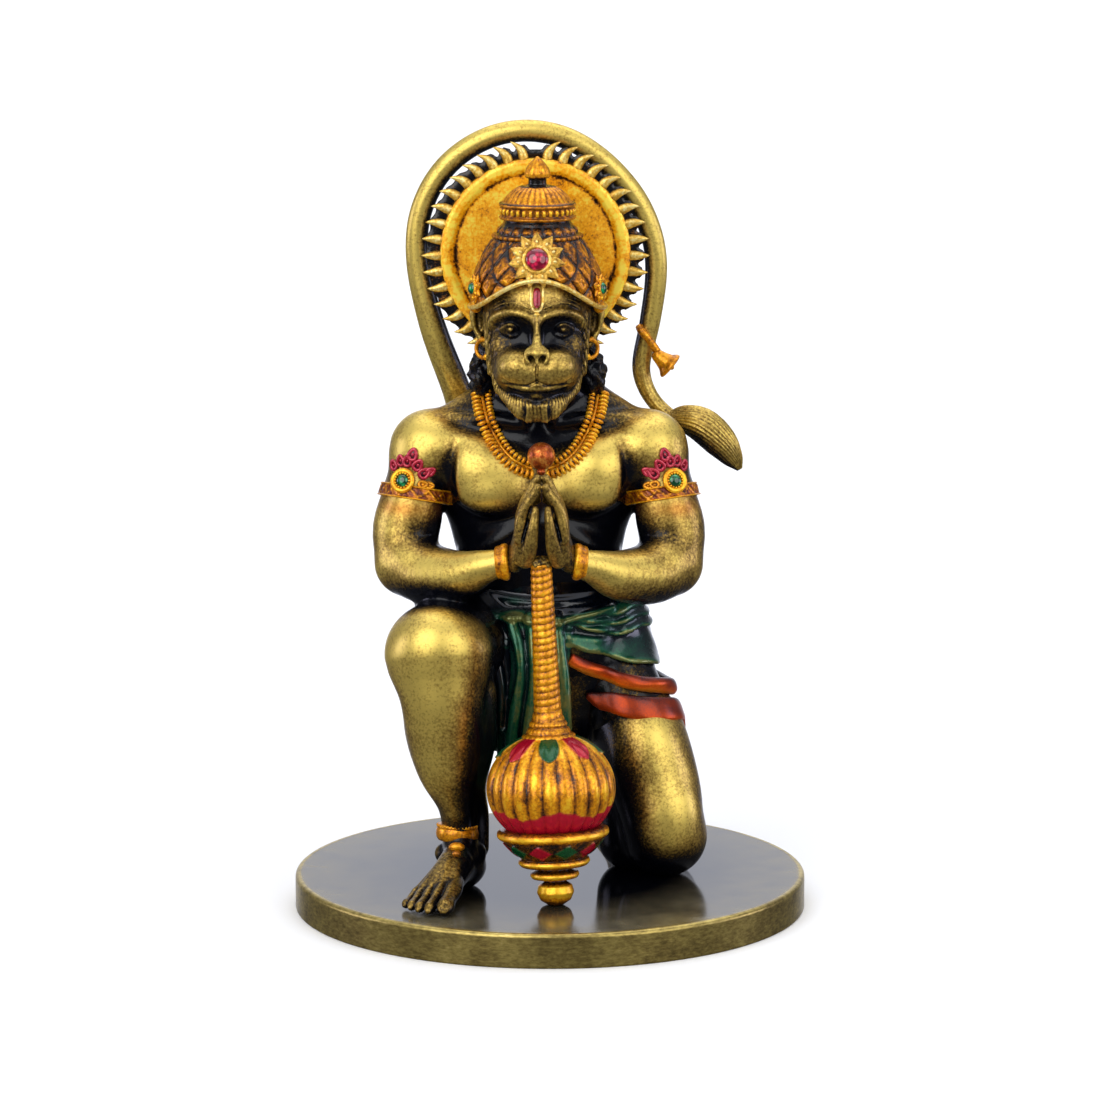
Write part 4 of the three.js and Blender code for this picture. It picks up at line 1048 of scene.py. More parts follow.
def clothGilt(points):
    # bright olive along the lower edge of each fold, with a painted shadow just under that edge; the waist
    # is left black, the viewer's right side is a little darker, and two spots are brightened as painted
    # highlights
    x, y, z = points.T
    bearing = hipBearing(x, y)
    panel = ramp(-y - 5.6, 0.5) * ramp(2.6 - x, 0.6) * ramp(35.2 - z, 0.6)
    total = np.zeros(len(points))
    for row, glow in zip(foldEdges, (0.55, 0.26, 0.16, 0.05)):
        rise = z - edgeHeight(row, bearing)
        total += (1 - panel) * glow * hump(rise - 0.16, 0.2)
        # painted shadow under each fold's overhanging edge
        total -= (1 - panel) * 0.16 * hump(rise + 0.45, 0.3)
    waist = ramp(z - 35.0 - 0.02 * np.abs(bearing), 0.5) * np.clip((60 - np.abs(bearing - 20)) / 25, 0.5, 1)
    side = ramp(bearing - 55, 30) * ramp(z - 29.5, 2)
    # painted highlights on the waist roll and lower down the panel
    lit = spotPush(points, [(-3.6, -6.0, 35.6, 1.6, 2, 0.6, 0.4), (-2.6, -7.0, 22.5, 1.0, 2, 3.0, 0.15)])
    return total - 0.6 * waist - 0.12 * side - 0.3 * panel + lit


def strip(top, bottom, thick, swell, **marks):
    # a band of cloth between two lines: rounded edges, thickness along the outward side
    mid, half = (top + bottom) / 2, (top - bottom) / 2
    tangent = unit(np.gradient(mid, axis=0))
    out = unit(np.cross(unit(half), tangent))
    out = np.where((out[:, 1:2] > 0) & (out[:, :1] < 0.5), -out, out)
    angle = wholeTurn(36)
    c, s = (np.sign(v) * np.abs(v) ** 0.7 for v in (np.cos(angle), np.sin(angle)))
    grid = (mid[:, None] + c[None, :, None] * half[:, None] * swell[:, None, None]
            + (s[None, :] * (thick * swell)[:, None])[..., None] * out[:, None])
    share = np.linspace(0, 1, len(mid))[:, None]
    # a painted sheen along the lower edge; the upper edge and the far end are darker
    gilt = (0.38 - 0.34 * c[None, :] ** 3 - 0.3 * ramp(share - 0.35, 0.3)
            + 0.05 * np.sin(share * 40 + 3 * c[None, :]))
    return ringSkin(grid, gilt=gilt, **marks)


# copper bands: lines through (x, y, z), the sash's with its radius, that are laid on the hips and the
# thigh and run on round the back
sashLine = [(2.4, -6.2, 30.4, 0.75), (3.6, -5.9, 29.7, 0.8), (4.9, -5.5, 29.1, 0.82),
            (6.2, -4.8, 28.5, 0.84), (7.9, -3.6, 27.8, 0.86), (9.8, -2.0, 27.1, 0.9),
            (12.0, 0.2, 26.3, 0.95), (13.8, 2.0, 25.6, 1.0), (13.6, 6.0, 25.6, 1.0),
            (12.6, 8.6, 26.0, 0.9), (10.0, 11.2, 26.8, 0.8), (5.0, 12.6, 27.6, 0.7),
            (-1.0, 12.2, 28.2, 0.5)]
hemTop = [(3.9, -5.4, 25.9), (6.3, -4.8, 26.2), (8.4, -3.6, 26.1), (10.5, -2.0, 25.6),
          (12.4, 0.2, 24.8), (13.9, 2.0, 23.6), (15.0, 3.6, 21.8), (14.2, 8.6, 20.6),
          (10.6, 11.4, 21.4), (6.0, 11.0, 22.6)]
hemBottom = [(4.4, -5.4, 24.0), (6.6, -4.8, 23.9), (8.6, -3.6, 23.5), (10.6, -2.0, 23.0),
             (12.6, 0.2, 22.2), (14.2, 1.6, 21.1), (15.4, 3.0, 19.6), (14.6, 9.2, 17.6),
             (10.8, 12.0, 18.6), (6.0, 11.6, 19.8)]


def buildBands(copper):
    # the sash is a roll laid on the clay, the hem a strip between two lines laid on it
    clay = newClay(clothLook["low"], clothLook["high"], 0.4)
    sculptHips(clay)
    limb(clay, kneelingThigh, 1.2)
    smoothed = lambda line: np.stack([neighbourLine(column) for column in line.T], 1)
    line = evenLine(smoothLine(sashLine, 12), 0.25)
    line[:, :3] = smoothed(laidOn(clay, line[:, :3], 0.25))
    turn = wholeTurn(28)[None, :]
    share = np.linspace(0, 1, len(line))[:, None]
    # a painted sheen along the roll's lower side; its upper side is darker, and so is all of it from about
    # a third of its length on, where it runs round to the back
    gilt = (0.64 - 0.42 * np.cos(turn) - 0.45 * ramp(share - 0.28, 0.2)
            + 0.05 * np.sin(share * 60 + 2 * turn))
    roll = tube(line[:, :3], line[:, 3:] * (1.0, 0.75), (0, 0, 1), 28,
                0.04 * np.sin(share * 35 + 3 * turn), gilt=gilt)
    makePiece("sash", roll, copper)
    top, bottom = (evenLine(smoothLine(rows, 12), 0.25) for rows in (hemTop, hemBottom))
    places = np.linspace(0, 1, 150)
    top, bottom = (np.stack([np.interp(places, np.linspace(0, 1, len(rows)), rows[:, k])
                             for k in range(3)], 1) for rows in (top, bottom))
    top, bottom = smoothed(laidOn(clay, top, 0.1)), smoothed(laidOn(clay, bottom, 0.1))
    ends = np.clip(np.minimum(places, 1 - places) / 0.012, 0.3, 1) ** 0.5
    makePiece("hem", strip(top, bottom, 0.42, ends), copper)


# the crown, its flower, side rosettes and the mark on the brow

crownLook = {"axis": (-1.45, 0.3), "flatBack": 7.0, "columns": 16, "plate": 4.7, "beads": 34, "ribs": 30,
             "edge": 71.0, "lift": 3.9, "brim": (7.75, 8.05), "around": 380}
crownProfile = [(7.45, 70.95), (7.6, 72.2), (7.5, 73.6), (7.15, 74.9), (6.55, 76.3), (5.8, 77.7),
                (5.05, 78.85), (5.2, 79.0), (5.2, 79.35), (4.75, 79.45), (4.3, 80.1), (3.95, 80.7),
                (3.8, 81.05), (4.35, 81.1), (4.5, 81.35), (4.2, 81.6), (4.25, 82.5), (4.5, 82.7),
                (4.4, 83.0), (3.95, 83.1), (3.5, 83.75), (2.75, 84.45), (1.95, 84.9), (1.3, 85.0),
                (1.05, 85.1), (1.05, 85.75), (1.4, 85.85), (1.45, 86.4), (1.25, 87.0), (0.65, 87.8),
                (0.12, 88.3)]


def lattice(angle, height, columns, tall):
    # crossing lines a + v = whole and a - v = whole, for a = angle share * columns and v = height / tall;
    # gives how far in from the nearest line a point lies, 0 to 0.5
    a, v = angle / (2 * pi) * columns, height / tall
    return np.minimum(0.5 - np.abs((a + v) % 1 - 0.5), 0.5 - np.abs((a - v) % 1 - 0.5))


def edgeLift(angle):
    # how far the lower edge rises over the brow
    return crownLook["lift"] * ramp(np.cos(angle)) ** 2.8


def buildCrown(gold, paleGold):
    # a lathe shape with relief: plates of a lattice, then rings of beads, leaf tips and ribs
    look = crownLook
    profile = softProfile(crownProfile, 0.085, 0.16)
    angle = wholeTurn(look["around"])[None, :]
    radius, height = profile[:, :1], profile[:, 1:]
    band = lambda low, high, soft=0.12: ramp(height - low, soft) * ramp(high - height, soft)
    onBody = band(70.6, 78.95, 0.3)
    inward = lattice(angle + 0.06, height - 0.4, look["columns"], look["plate"])
    plates = ramp(inward, 0.13) ** 0.7
    ridge = hump(inward - 0.3, 0.07)
    beads = ramp(np.cos(angle * look["beads"])) ** 0.5 * np.sqrt(ramp(1 - ((height - 82.05) / 0.38) ** 2))
    ribs = np.abs(np.cos(angle * look["ribs"] / 2)) ** 0.6
    tips = np.abs(np.cos(angle * 11)) ** 0.8 * ramp(1 - np.abs(height - 79.95) / 0.5)
    ringBeads = 0.5 + 0.5 * np.cos(angle * 40)
    finialRibs = np.abs(np.cos(angle * 6))
    relief = ((0.34 * (plates - 0.5) + 0.1 * ridge) * onBody + 0.26 * beads
              + 0.2 * (ribs - 0.6) * band(83.1, 84.9) + 0.34 * tips
              + 0.12 * ringBeads * band(78.9, 79.4) + 0.08 * (finialRibs - 0.5) * band(85.9, 87.6))
    low = ramp(height - 72, 7)
    gilt = (0.14 + (0.44 * plates + 0.18 * ridge - 0.14 * low) * onBody
            + 0.5 * band(78.9, 79.45) * (0.5 + 0.5 * ringBeads) + 0.6 * tips + 0.5 * band(81.05, 81.5)
            + 0.75 * beads + 0.5 * band(82.6, 83.0) + 0.34 * band(81.4, 82.7)
            + (0.36 + 0.26 * ribs) * band(83.0, 84.9) + (0.52 + 0.12 * finialRibs) * band(85.8, 89, 0.25))
    wide = radius + relief
    fade = ramp(78.5 - height, 78.5 - look["edge"])
    x = look["axis"][0] + wide * np.sin(angle)
    y = look["axis"][1] - wide * np.cos(angle)
    y = np.minimum(y, look["flatBack"])
    grid = np.stack([x, y, height + edgeLift(angle) * fade ** 1.5], -1)
    makePiece("crown", ringSkin(grid, gilt=gilt), gold)
    # brim: a plain roll along the lower edge, highest in the middle of the brow
    bearing = np.radians(np.linspace(-96, 96, 121))
    brim = np.stack([look["axis"][0] + look["brim"][0] * np.sin(bearing),
                     look["axis"][1] - look["brim"][1] * np.cos(bearing),
                     look["edge"] + edgeLift(bearing)], 1)
    shine = 0.72 + 0.2 * np.cos(bearing)[:, None] + np.zeros((1, 14))
    roll = tube(brim, (0.28, 0.38), (0, 0, 1), 14, gilt=shine)
    makePiece("crownBrim", roll, paleGold)


def petalShape(length, width, thick, count=12, around=10):
    # a pointed petal along +Y: an oval whose width is sin(pi t^0.6), with a groove down its middle
    t = np.linspace(0.03, 0.985, count)
    half = width / 2 * np.sin(pi * t ** 0.62)
    angle = wholeTurn(around)
    grid = np.stack([half[:, None] * np.cos(angle), length * t[:, None] + 0 * angle,
                     thick * (half[:, None] / (width / 2)) ** 0.5 * np.sin(angle)
                     * (1 - 0.45 * hump(np.cos(angle), 0.35))], -1)
    top = np.sin(angle)[None, :] * hump(np.cos(angle), 0.35)[None, :]
    return ringSkin(grid, gilt=0.78 - 0.35 * ramp(top) + 0 * t[:, None])


def flowerShape(look):
    # petals all round a collar, with a bead on each and a ring of beads at the collar; faces +Z
    angles = np.arange(look["petals"]) * 2 * pi / look["petals"] + look["turn"]
    frames = np.stack([np.stack([np.cos(angles), np.sin(angles), 0 * angles], 1),
                       np.stack([-np.sin(angles), np.cos(angles), 0 * angles], 1),
                       np.tile([0, 0, 1.0], (len(angles), 1))], 2)
    out = frames[:, :, 1]
    petals = repeated(petalShape(look["reach"] - look["collar"] * 0.8, look["petalWidth"], look["thick"]),
                      out * look["collar"] * 0.8, frames)
    drops = repeated(bead((0.17, 0.24, 0.2), gilt=0.95),
                     out * (look["reach"] * 0.62) + (0, 0, look["thick"] * 0.9), frames)
    ring = polar(look["collar"], wholeTurn(48), 0.3)
    collar = tube(ring, (0.15, 0.22), (0, 0, 1), 10, closed=True, gilt=0.8)
    plate = turned([(0.01, -0.6), (look["reach"] * 0.62, -0.6), (look["reach"] * 0.66, 0.1),
                    (look["collar"], 0.3), (0.01, 0.3)], 40, gilt=0.35)
    return joined([petals, drops, collar, plate])


def domeShape(radius, height, **marks):
    # a cut stone's dome on a short drum
    t = np.linspace(0, pi / 2, 9)[:-1]
    profile = [(radius, -0.5), (radius, 0)] + [(radius * cos(a), height * sin(a)) for a in t[1:]]
    return turned([(0.02, -0.5)] + profile + [(radius * 0.05, height)], 32, **marks)


def buildCrownJewels(gold, paleGold, ruby, emeraldStone):
    # a flower round a red stone in front, and a rosette over each ear
    front = axesFor((0, -1, 0.38))
    centre = np.array([-1.5, -6.75, 77.15])
    flower = flowerShape({"petals": 11, "turn": 0, "reach": 3.35, "collar": 1.5, "petalWidth": 1.5,
                          "thick": 0.36})
    makePiece("crownFlower", placed(flower, centre, front), paleGold)
    makePiece("crownRuby", placed(domeShape(1.32, 0.75), centre + front[:, 2] * 0.3, front), ruby)
    parts, stones = [], []
    for side in (-1, 1):
        bearing = radians(66) * side
        spot = np.array([crownLook["axis"][0] + 7.9 * sin(bearing),
                         crownLook["axis"][1] - 7.9 * cos(bearing), 73.4])
        axes = axesFor((sin(bearing), -cos(bearing), 0.1))
        rosette = flowerShape({"petals": 8, "turn": 0.4, "reach": 1.75, "collar": 0.85, "petalWidth": 0.95,
                               "thick": 0.3})
        parts.append(placed(rosette, spot, axes))
        stones.append(placed(domeShape(0.72, 0.5), spot + axes[:, 2] * 0.25, axes))
        # ball ends of the brim over the ears
        parts.append(placed(bead((0.7, 0.7, 0.75), 20, 12, gilt=0.75), spot + (side * -0.1, 1.6, -2.3)))
    makePiece("sideRosettes", joined(parts), gold)
    makePiece("rosetteStones", joined(stones), emeraldStone)


def buildBrowMark(clay, gold, ruby):
    # a red U between two gold lines, with a gold drop below; it lies on the forehead
    outline = np.array([(-0.68, 74.5), (-0.7, 73.4), (-0.68, 72.4), (-0.48, 71.7), (0, 71.4), (0.48, 71.7),
                        (0.68, 72.4), (0.7, 73.4), (0.68, 74.5)])
    curve = smoothLine(outline, 8)
    rim = onFront(clay, faceLine + curve[:, 0], curve[:, 1], 0.06)
    line = tube(rim, (0.15, 0.16), (0, 1, 0), 10, gilt=0.9)
    drop = seatOn(clay, faceLine, 71.1, 0.05)
    parts = [line, placed(bead((0.36, 0.26, 0.26), 16, 10, gilt=0.9), drop)]
    makePiece("browMarkRim", joined(parts), gold)
    height = np.linspace(74.0, 71.8, 24)
    red = onFront(clay, faceLine + 0 * height, height, 0.02)
    share = np.linspace(-1, 1, 24)[:, None]
    radii = np.sqrt(np.clip(1 - share ** 4, 0.02, 1)) * (0.45, 0.16)
    makePiece("browMark", tube(red, radii, (1, 0, 0), 14, gilt=0.5), ruby)


# jewellery on the figure: necklace, armlets, bangles, anklet and earrings

# strands as (reach from the midline, z) from the neck down; gap is from bead to bead, lift is off the skin
necklaceLook = {
    "outer": {"line": [(7.5, 60.6), (7.25, 59.3), (6.55, 57.2), (5.3, 55.1), (3.7, 53.4), (2.3, 52.5),
                       (1.0, 52.0)], "gap": 0.62, "lift": 0.28, "bead": (0.62, 0.27, 0.42)},
    "inner": {"line": [(6.1, 61.4), (5.75, 59.0), (5.0, 57.0), (3.95, 55.3), (2.7, 54.1), (1.6, 53.5),
                       (0.9, 53.2)], "gap": 0.56, "lift": 0.24, "bead": (0.42, 0.25, 0.36)},
    "cordGap": 0.2, "cordLift": 0.1, "cordRadii": (0.13, 0.2), "shift": 0.15, "pendant": (-1.0, -8.6, 54.8),
    "ball": 1.6}


def strandOnChest(clay, stations, side, gap, lift):
    # (reach, z) stations laid on the chest; where the search meets the hands it falls back to the neck
    curve = smoothLine(stations, 14)
    line = onFront(clay, midline + necklaceLook["shift"] + side * curve[:, 0], curve[:, 1], lift)
    line[:, 1] = neighbourLine(np.where(line[:, 1] < -12, -0.8, line[:, 1]))
    return evenLine(line, gap)


def strandFrames(line, facing):
    # columns: across the strand on the skin, along it, and outwards
    along = unit(np.gradient(line, axis=0))
    across = unit(np.cross(along, facing))
    return np.stack([across, along, np.cross(across, along)], 2)


def buildNecklace(clay, gold, copper):
    # two strands of beads with a cord between them, and a ball where they meet in front
    look, parts = necklaceLook, []
    strands = look["outer"], look["inner"]
    between = [((a + c) / 2 - 0.05, (b + d) / 2)
               for (a, b), (c, d) in zip(*(one["line"] for one in strands))]
    for side in (-1, 1):
        for strand in strands:
            line = strandOnChest(clay, strand["line"], side, strand["gap"], strand["lift"])
            facing = unit(unit(slope(clay, line)) + np.array([0, -0.6, 0]))
            parts.append(repeated(bead(strand["bead"], 12, 8, gilt=0.85), line, strandFrames(line, facing)))
            parts.append(tube(line, (0.2, 0.2), (0, -1, 0.1), 8, gilt=0.15))
        cord = strandOnChest(clay, between, side, look["cordGap"], look["cordLift"])
        parts.append(tube(cord, look["cordRadii"], (0, -1, 0.1), 8, gilt=0.75))
    makePiece("necklace", joined(parts), gold)
    centre = np.array(look["pendant"])
    ball = placed(bead((look["ball"],) * 3, 40, 24, gilt=0.62), centre)
    stalk = tube(centre + np.array([(0, 4.2, -0.5), (0, 2.4, -0.2), (0, 1.2, 0)]), (0.9, 0.8), (1, 0, 0),
                 16, gilt=0)
    cap = placed(bead((0.5, 0.5, 0.42), 16, 8, gilt=0.6), centre + (0, -0.3, -1.75))
    makePiece("pendant", joined([ball, stalk, cap]), copper)


# petals of an armlet's crest from the gem as (inwards, up, size); the two below the gem are plain gold
armletLook = {
    "reach": 14.5, "y": 0.7, "z": 48.95, "tilt": -0.15, "half": 0.85, "least": 2.2, "most": 5.2,
    "waves": 14, "gem": (15.6, 51.0),
    "petals": [(1.05, 3.1, 1.1), (0.45, 2.3, 1.0), (-0.35, 2.25, 0.95), (-1.15, 1.6, 0.9),
               (1.65, 1.9, 1.05), (2.4, 0.95, 1.1), (3.1, 1.15, 0.8), (2.2, -0.35, 0.8), (2.95, -0.5, 0.7)]}


def skinRadius(clay, centre, axes, angle, height):
    # how far from an axis the clay's surface lies, by bearing and height, evened out along the ring
    reach = np.linspace(armletLook["least"], armletLook["most"], 50)
    angle, height = np.broadcast_arrays(angle, height)
    local = polar(reach, angle[..., None], height[..., None])
    outside = sampled(clay, (local @ axes.T + centre).reshape(-1, 3)).reshape(local.shape[:-1]) > 0
    radius = np.where(outside.any(-1), reach[outside.argmax(-1)], armletLook["most"])
    kernel = np.ones(15) / 15
    return np.stack([np.convolve(np.concatenate([row[-7:], row, row[:7]]), kernel, "valid")
                     for row in radius])


def armletBand(clay, centre, axes):
    # a band with a rim at each edge, and between them a wave that runs round with a curl in each hollow
    look = armletLook
    h, a = np.linspace(-1, 1, 27)[:, None], wholeTurn(220)[None, :]
    rim, field = hump(np.abs(h) - 0.83, 0.14), ramp(0.72 - np.abs(h), 0.1)
    wave = hump(h - 0.42 * np.sin(look["waves"] * a), 0.2)
    curl = np.cos(look["waves"] * a + 2.2 * h) * np.sin(2 * look["waves"] * a + 5 * h)
    edge = ramp(1.0 - np.abs(h), 0.1) ** 0.5
    swell = (0.22 * rim + field * (0.1 * wave + 0.08 * curl) + 0.12) * edge - 0.5 * (1 - edge)
    wide = skinRadius(clay, centre, axes, a, look["half"] * h) + 0.12 + swell
    band = ringSkin(polar(wide, a, look["half"] * h),
                    gilt=ramp(0.5 + 0.4 * rim + field * (0.16 * wave + 0.2 * curl)),
                    crimson=ramp(0.25 * field * (0.8 - wave)))
    return placed(band, centre, axes)


def crestPetal(clay, seat, across, up, size):
    # a drop-shaped loop round a small bead, on a dark back
    axes = axesFor(unit(unit(slope(clay, seat[None]))[0] + np.array([0, -0.5, 0])), (across, 0, up + 0.6))
    loop = wholeTurn(28)
    drop = np.stack([0.42 * size * np.sin(loop) * (1 + 0.35 * np.cos(loop + pi)), 0.6 * size * np.cos(loop),
                     0.12 + 0 * loop], 1)
    back = 1.12 * size
    return placed(joined([bead((0.42 * back, 0.6 * back, 0.14), 14, 6, gilt=0.05),
                          tube(drop, (0.19, 0.22), (0, 0, 1), 8, closed=True,
                               gilt=0.5 + 0.3 * np.cos(wholeTurn(8))),
                          bead((0.22, 0.26, 0.24), 10, 6, gilt=0.7)]), seat, axes)


def buildArmlets(clay, gold, crimson, stone):
    # a band, a crest of petals and a stone in its bezel on each arm
    look = armletLook
    bands, crests, stones, bezels = [], [], [], []
    loop = wholeTurn(64)
    bezel = joined([tube(polar(1.18, loop, 0.25), (0.24, 0.3), (0, 0, 1), 12, closed=True, gilt=0.9),
                    repeated(bead((0.14, 0.14, 0.14), 8, 5, gilt=0.9), polar(0.86, loop, 0.42)[::4]),
                    turned([(0.02, -0.7), (1.3, -0.7), (1.25, 0.2), (0.02, 0.25)], 32, gilt=0.3)])
    for side in (-1, 1):
        centre = np.array([midline + side * look["reach"], look["y"], look["z"]])
        bands.append(armletBand(clay, centre, axesFor((side * look["tilt"], 0.18, 1), (0, 1, 0))))
        gem = seatOn(clay, midline + side * look["gem"][0], look["gem"][1], 0.15)
        for inward, up, size in look["petals"]:
            seat = seatOn(clay, gem[0] - side * inward, gem[2] + up, 0.1)
            (crests if up > 0 else bezels).append(crestPetal(clay, seat, -side * inward, up, size))
        axes = axesFor(unit(slope(clay, gem[None])[0]) + np.array([0, -0.6, 0]))
        seat = gem + axes[:, 2] * 0.25
        bezels.append(placed(bezel, seat, axes))
        stones.append(placed(domeShape(0.74, 0.42), seat + axes[:, 2] * 0.28, axes))
    makePiece("armletBands", joined(bands), gold)
    makePiece("armletCrests", joined(crests), crimson)
    makePiece("armletBezels", joined(bezels), gold)
    makePiece("armletStones", joined(stones), stone)


# wrist and ear are (reach, y, z); the anklet's hoops are (lift, radius, height, thickness)
ringsLook = {"wrist": (4.35, -11.1, 42.95), "bangle": 1.62, "ear": (6.2, -1.3, 66.2), "hoop": 1.05,
             "ankle": np.array([-10.75, -8.9, 10.7]), "ankleAxis": (0.05, 0.1, 1),
             "anklet": [(0.7, 2.0, 0.3, 0.4), (-0.1, 1.95, 0.95, 0.55)]}


def ringLine(centre, axis, radius, count):
    # a circle round an axis
    return polar(radius, wholeTurn(count), 0) @ axesFor(axis).T + np.asarray(centre)


def buildRings(footClay, gold):
    # bangles, ear hoops with their beads, and the anklet with its two front beads
    look, parts = ringsLook, []
    wrist, ear, ankle = look["wrist"], look["ear"], look["ankle"]
    ridge = 0.1 * np.cos(wholeTurn(20) * 3)[None, :] * np.ones((72, 1))   # three ridges round a bangle
    for side in (-1, 1):
        across = (side, 0.06, -0.08)
        line = ringLine((midline + 0.3 + side * wrist[0], *wrist[1:]), across, look["bangle"], 72)
        parts.append(tube(line, (0.8, 0.46), unit(np.array(across)), 20, ridge, closed=True,
                          gilt=0.72 + 1.5 * ridge))
        hoop = ringLine((faceLine + side * ear[0], *ear[1:]), (side * 0.8, -1, 0.1), look["hoop"], 48)
        parts.append(tube(hoop, (0.26, 0.24), (0, -1, 0), 12, closed=True, gilt=0.75))
        parts.append(placed(bead((0.36, 0.34, 0.4), 14, 10, gilt=0.9),
                            (faceLine + side * 5.85, -1.7, 65.3)))
        parts.append(placed(bead((0.3, 0.3, 0.3), 12, 8, gilt=0.7), (faceLine + side * 6.3, -1.0, 67.3)))
    makePiece("banglesAndHoops", joined(parts), gold)
    parts = [placed(bead((0.95, 0.5, 0.55), 20, 12, gilt=0.75), seatOn(footClay, ankle[0], 9.8, 0.1)),
             placed(bead((0.55, 0.4, 0.4), 14, 8, gilt=0.6), seatOn(footClay, ankle[0], 9.3, 0.1))]
    for lift, radius, tall, size in look["anklet"]:
        line = ringLine(ankle + (0, 0, lift), look["ankleAxis"], radius, 90)
        parts.append(tube(line, (tall, size), (0, 0, 1), 12, closed=True, gilt=0.72))
    studs = ringLine(ankle + (0, 0, 0.8), look["ankleAxis"], 2.3, 34)
    parts.append(repeated(bead((0.14, 0.14, 0.16), 8, 6, gilt=0.8), studs))
    makePiece("anklet", joined(parts), gold)


# the halo behind the crown

haloLook = {"x": -1.7, "y": 7.3, "z": 76.2, "rim": 11.1, "rayTip": 13.35, "rays": 38, "gap": 15}


def buildHalo(gold, paleGold):
    # a dished plate, the rays round it and the web that joins them
    look = haloLook
    front = axesFor((0, -1, 0))
    centre = (look["x"], look["y"], look["z"])
    # dished plate with a round rim and a flat back; heights are towards the front
    profile = softProfile([(0.02, -0.62), (8.8, -0.5), (9.3, -0.55), (9.6, -0.3), (10.0, -0.02),
                           (10.7, 0.0), (11.1, -0.25), (11.15, -0.8), (10.9, -1.1), (0.02, -1.1)],
                          0.12, 0.25)
    angle = wholeTurn(260)[None, :]
    radius, height = profile[:, :1], profile[:, 1:]
    faceSide = ramp(height + 0.95, 0.15)
    # the plate's face is nearly smooth, with a fine line of dents inside its rim
    swells = 0.03 * np.sin(radius * 1.1 + 2 * np.sin(angle * 3)) * np.sin(angle * 4 + radius * 0.7)
    notch = 0.07 * np.abs(np.sin(angle * 56)) * hump(radius - 9.2, 0.25)
    lift = height + faceSide * (swells * ramp(9.4 - radius, 0.6) + notch)
    rim = hump(radius - 10.35, 0.5) * faceSide
    groove = hump(radius - 9.35, 0.22) * faceSide
    gilt = 0.74 + 0.2 * rim - 0.4 * groove + 2 * swells + 0 * angle
    gilt = np.where(faceSide > 0.5, gilt, 0)
    plate = ringSkin(polar(radius, angle, lift), gilt=gilt)
    makePiece("haloPlate", placed(plate, centre, front), gold, "halo")
    # flame rays: bent cones on a dark fillet; their tips lean away from the top, straight at the sides
    turns = np.radians(90 - np.linspace(look["gap"] / 2, 360 - look["gap"] / 2, look["rays"]))
    t = np.linspace(0, 1, 14)
    rays = []
    for turn in turns:
        bend = 0.5 * sin(turn) * (1 if cos(turn) > 0 else -1)
        reach = look["rim"] - 0.3 + (look["rayTip"] - look["rim"] + 0.3) * t
        curve = turn - bend * (t ** 1.6) * 2.0 / look["rim"] + 0.05 * bend * np.sin(pi * t)
        line = polar(reach, curve, -0.62 - 0.05 * t)
        half = (0.4 + 0.14 * np.sin(pi * t) + 0.22 * (1 - t) ** 3) * (1 - t ** 2.4) ** 0.8 + 0.03
        radii = np.stack([0.42 * (1 - t) ** 0.5 + 0.03, half], 1)
        around = wholeTurn(12)
        gilt = 0.5 + 0.4 * np.cos(around)[None, :] * np.ones((14, 1)) - 0.4 * hump(t[:, None], 0.14)
        rays.append(tube(line, radii, (0, 0, 1), 12, gilt=gilt))
    makePiece("haloRays", placed(joined(rays), centre, front), paleGold, "halo")
    # web: a thin black plate behind the rays that also stands in, as painted shade, for the dark seen in
    # the deep gaps between them; its edge dips between them, less so on the viewer's left, where that shade
    # reaches further out
    sweep = wholeTurn(600)
    fromTop = (pi / 2 - sweep) % (2 * pi)
    step = radians(360 - look["gap"]) / (look["rays"] - 1)
    place = np.clip((fromTop - radians(look["gap"] / 2)) / step, -0.5, look["rays"] - 0.5)
    valley = 0.9 - 0.55 * ramp(-np.cos(sweep) - 0.4, 0.3)
    wide = 1.02 - 0.45 * valley * np.abs(np.sin(pi * place)) ** 0.8
    line = polar(10.9 + wide, sweep, -0.85)
    half = np.stack([0.2 + 0 * wide, wide], 1)
    web = tube(line, half, (0, 0, 1), 12, closed=True, gilt=0)
    makePiece("haloWebAndShade", placed(web, centre, front), gold, "halo")


# the mace, standing on its tip; heights are along its axis from the tip

maceLook = {"tip": (0.7, -16.6, 4.0), "top": (-1.0, -13.3, 42.6), "middle": 13.5, "radius": 7.4,
            "halfHeight": 6.5, "flutes": 24, "fluteDepth": 0.34, "leaves": 8, "diamonds": 10, "pitch": 0.78}


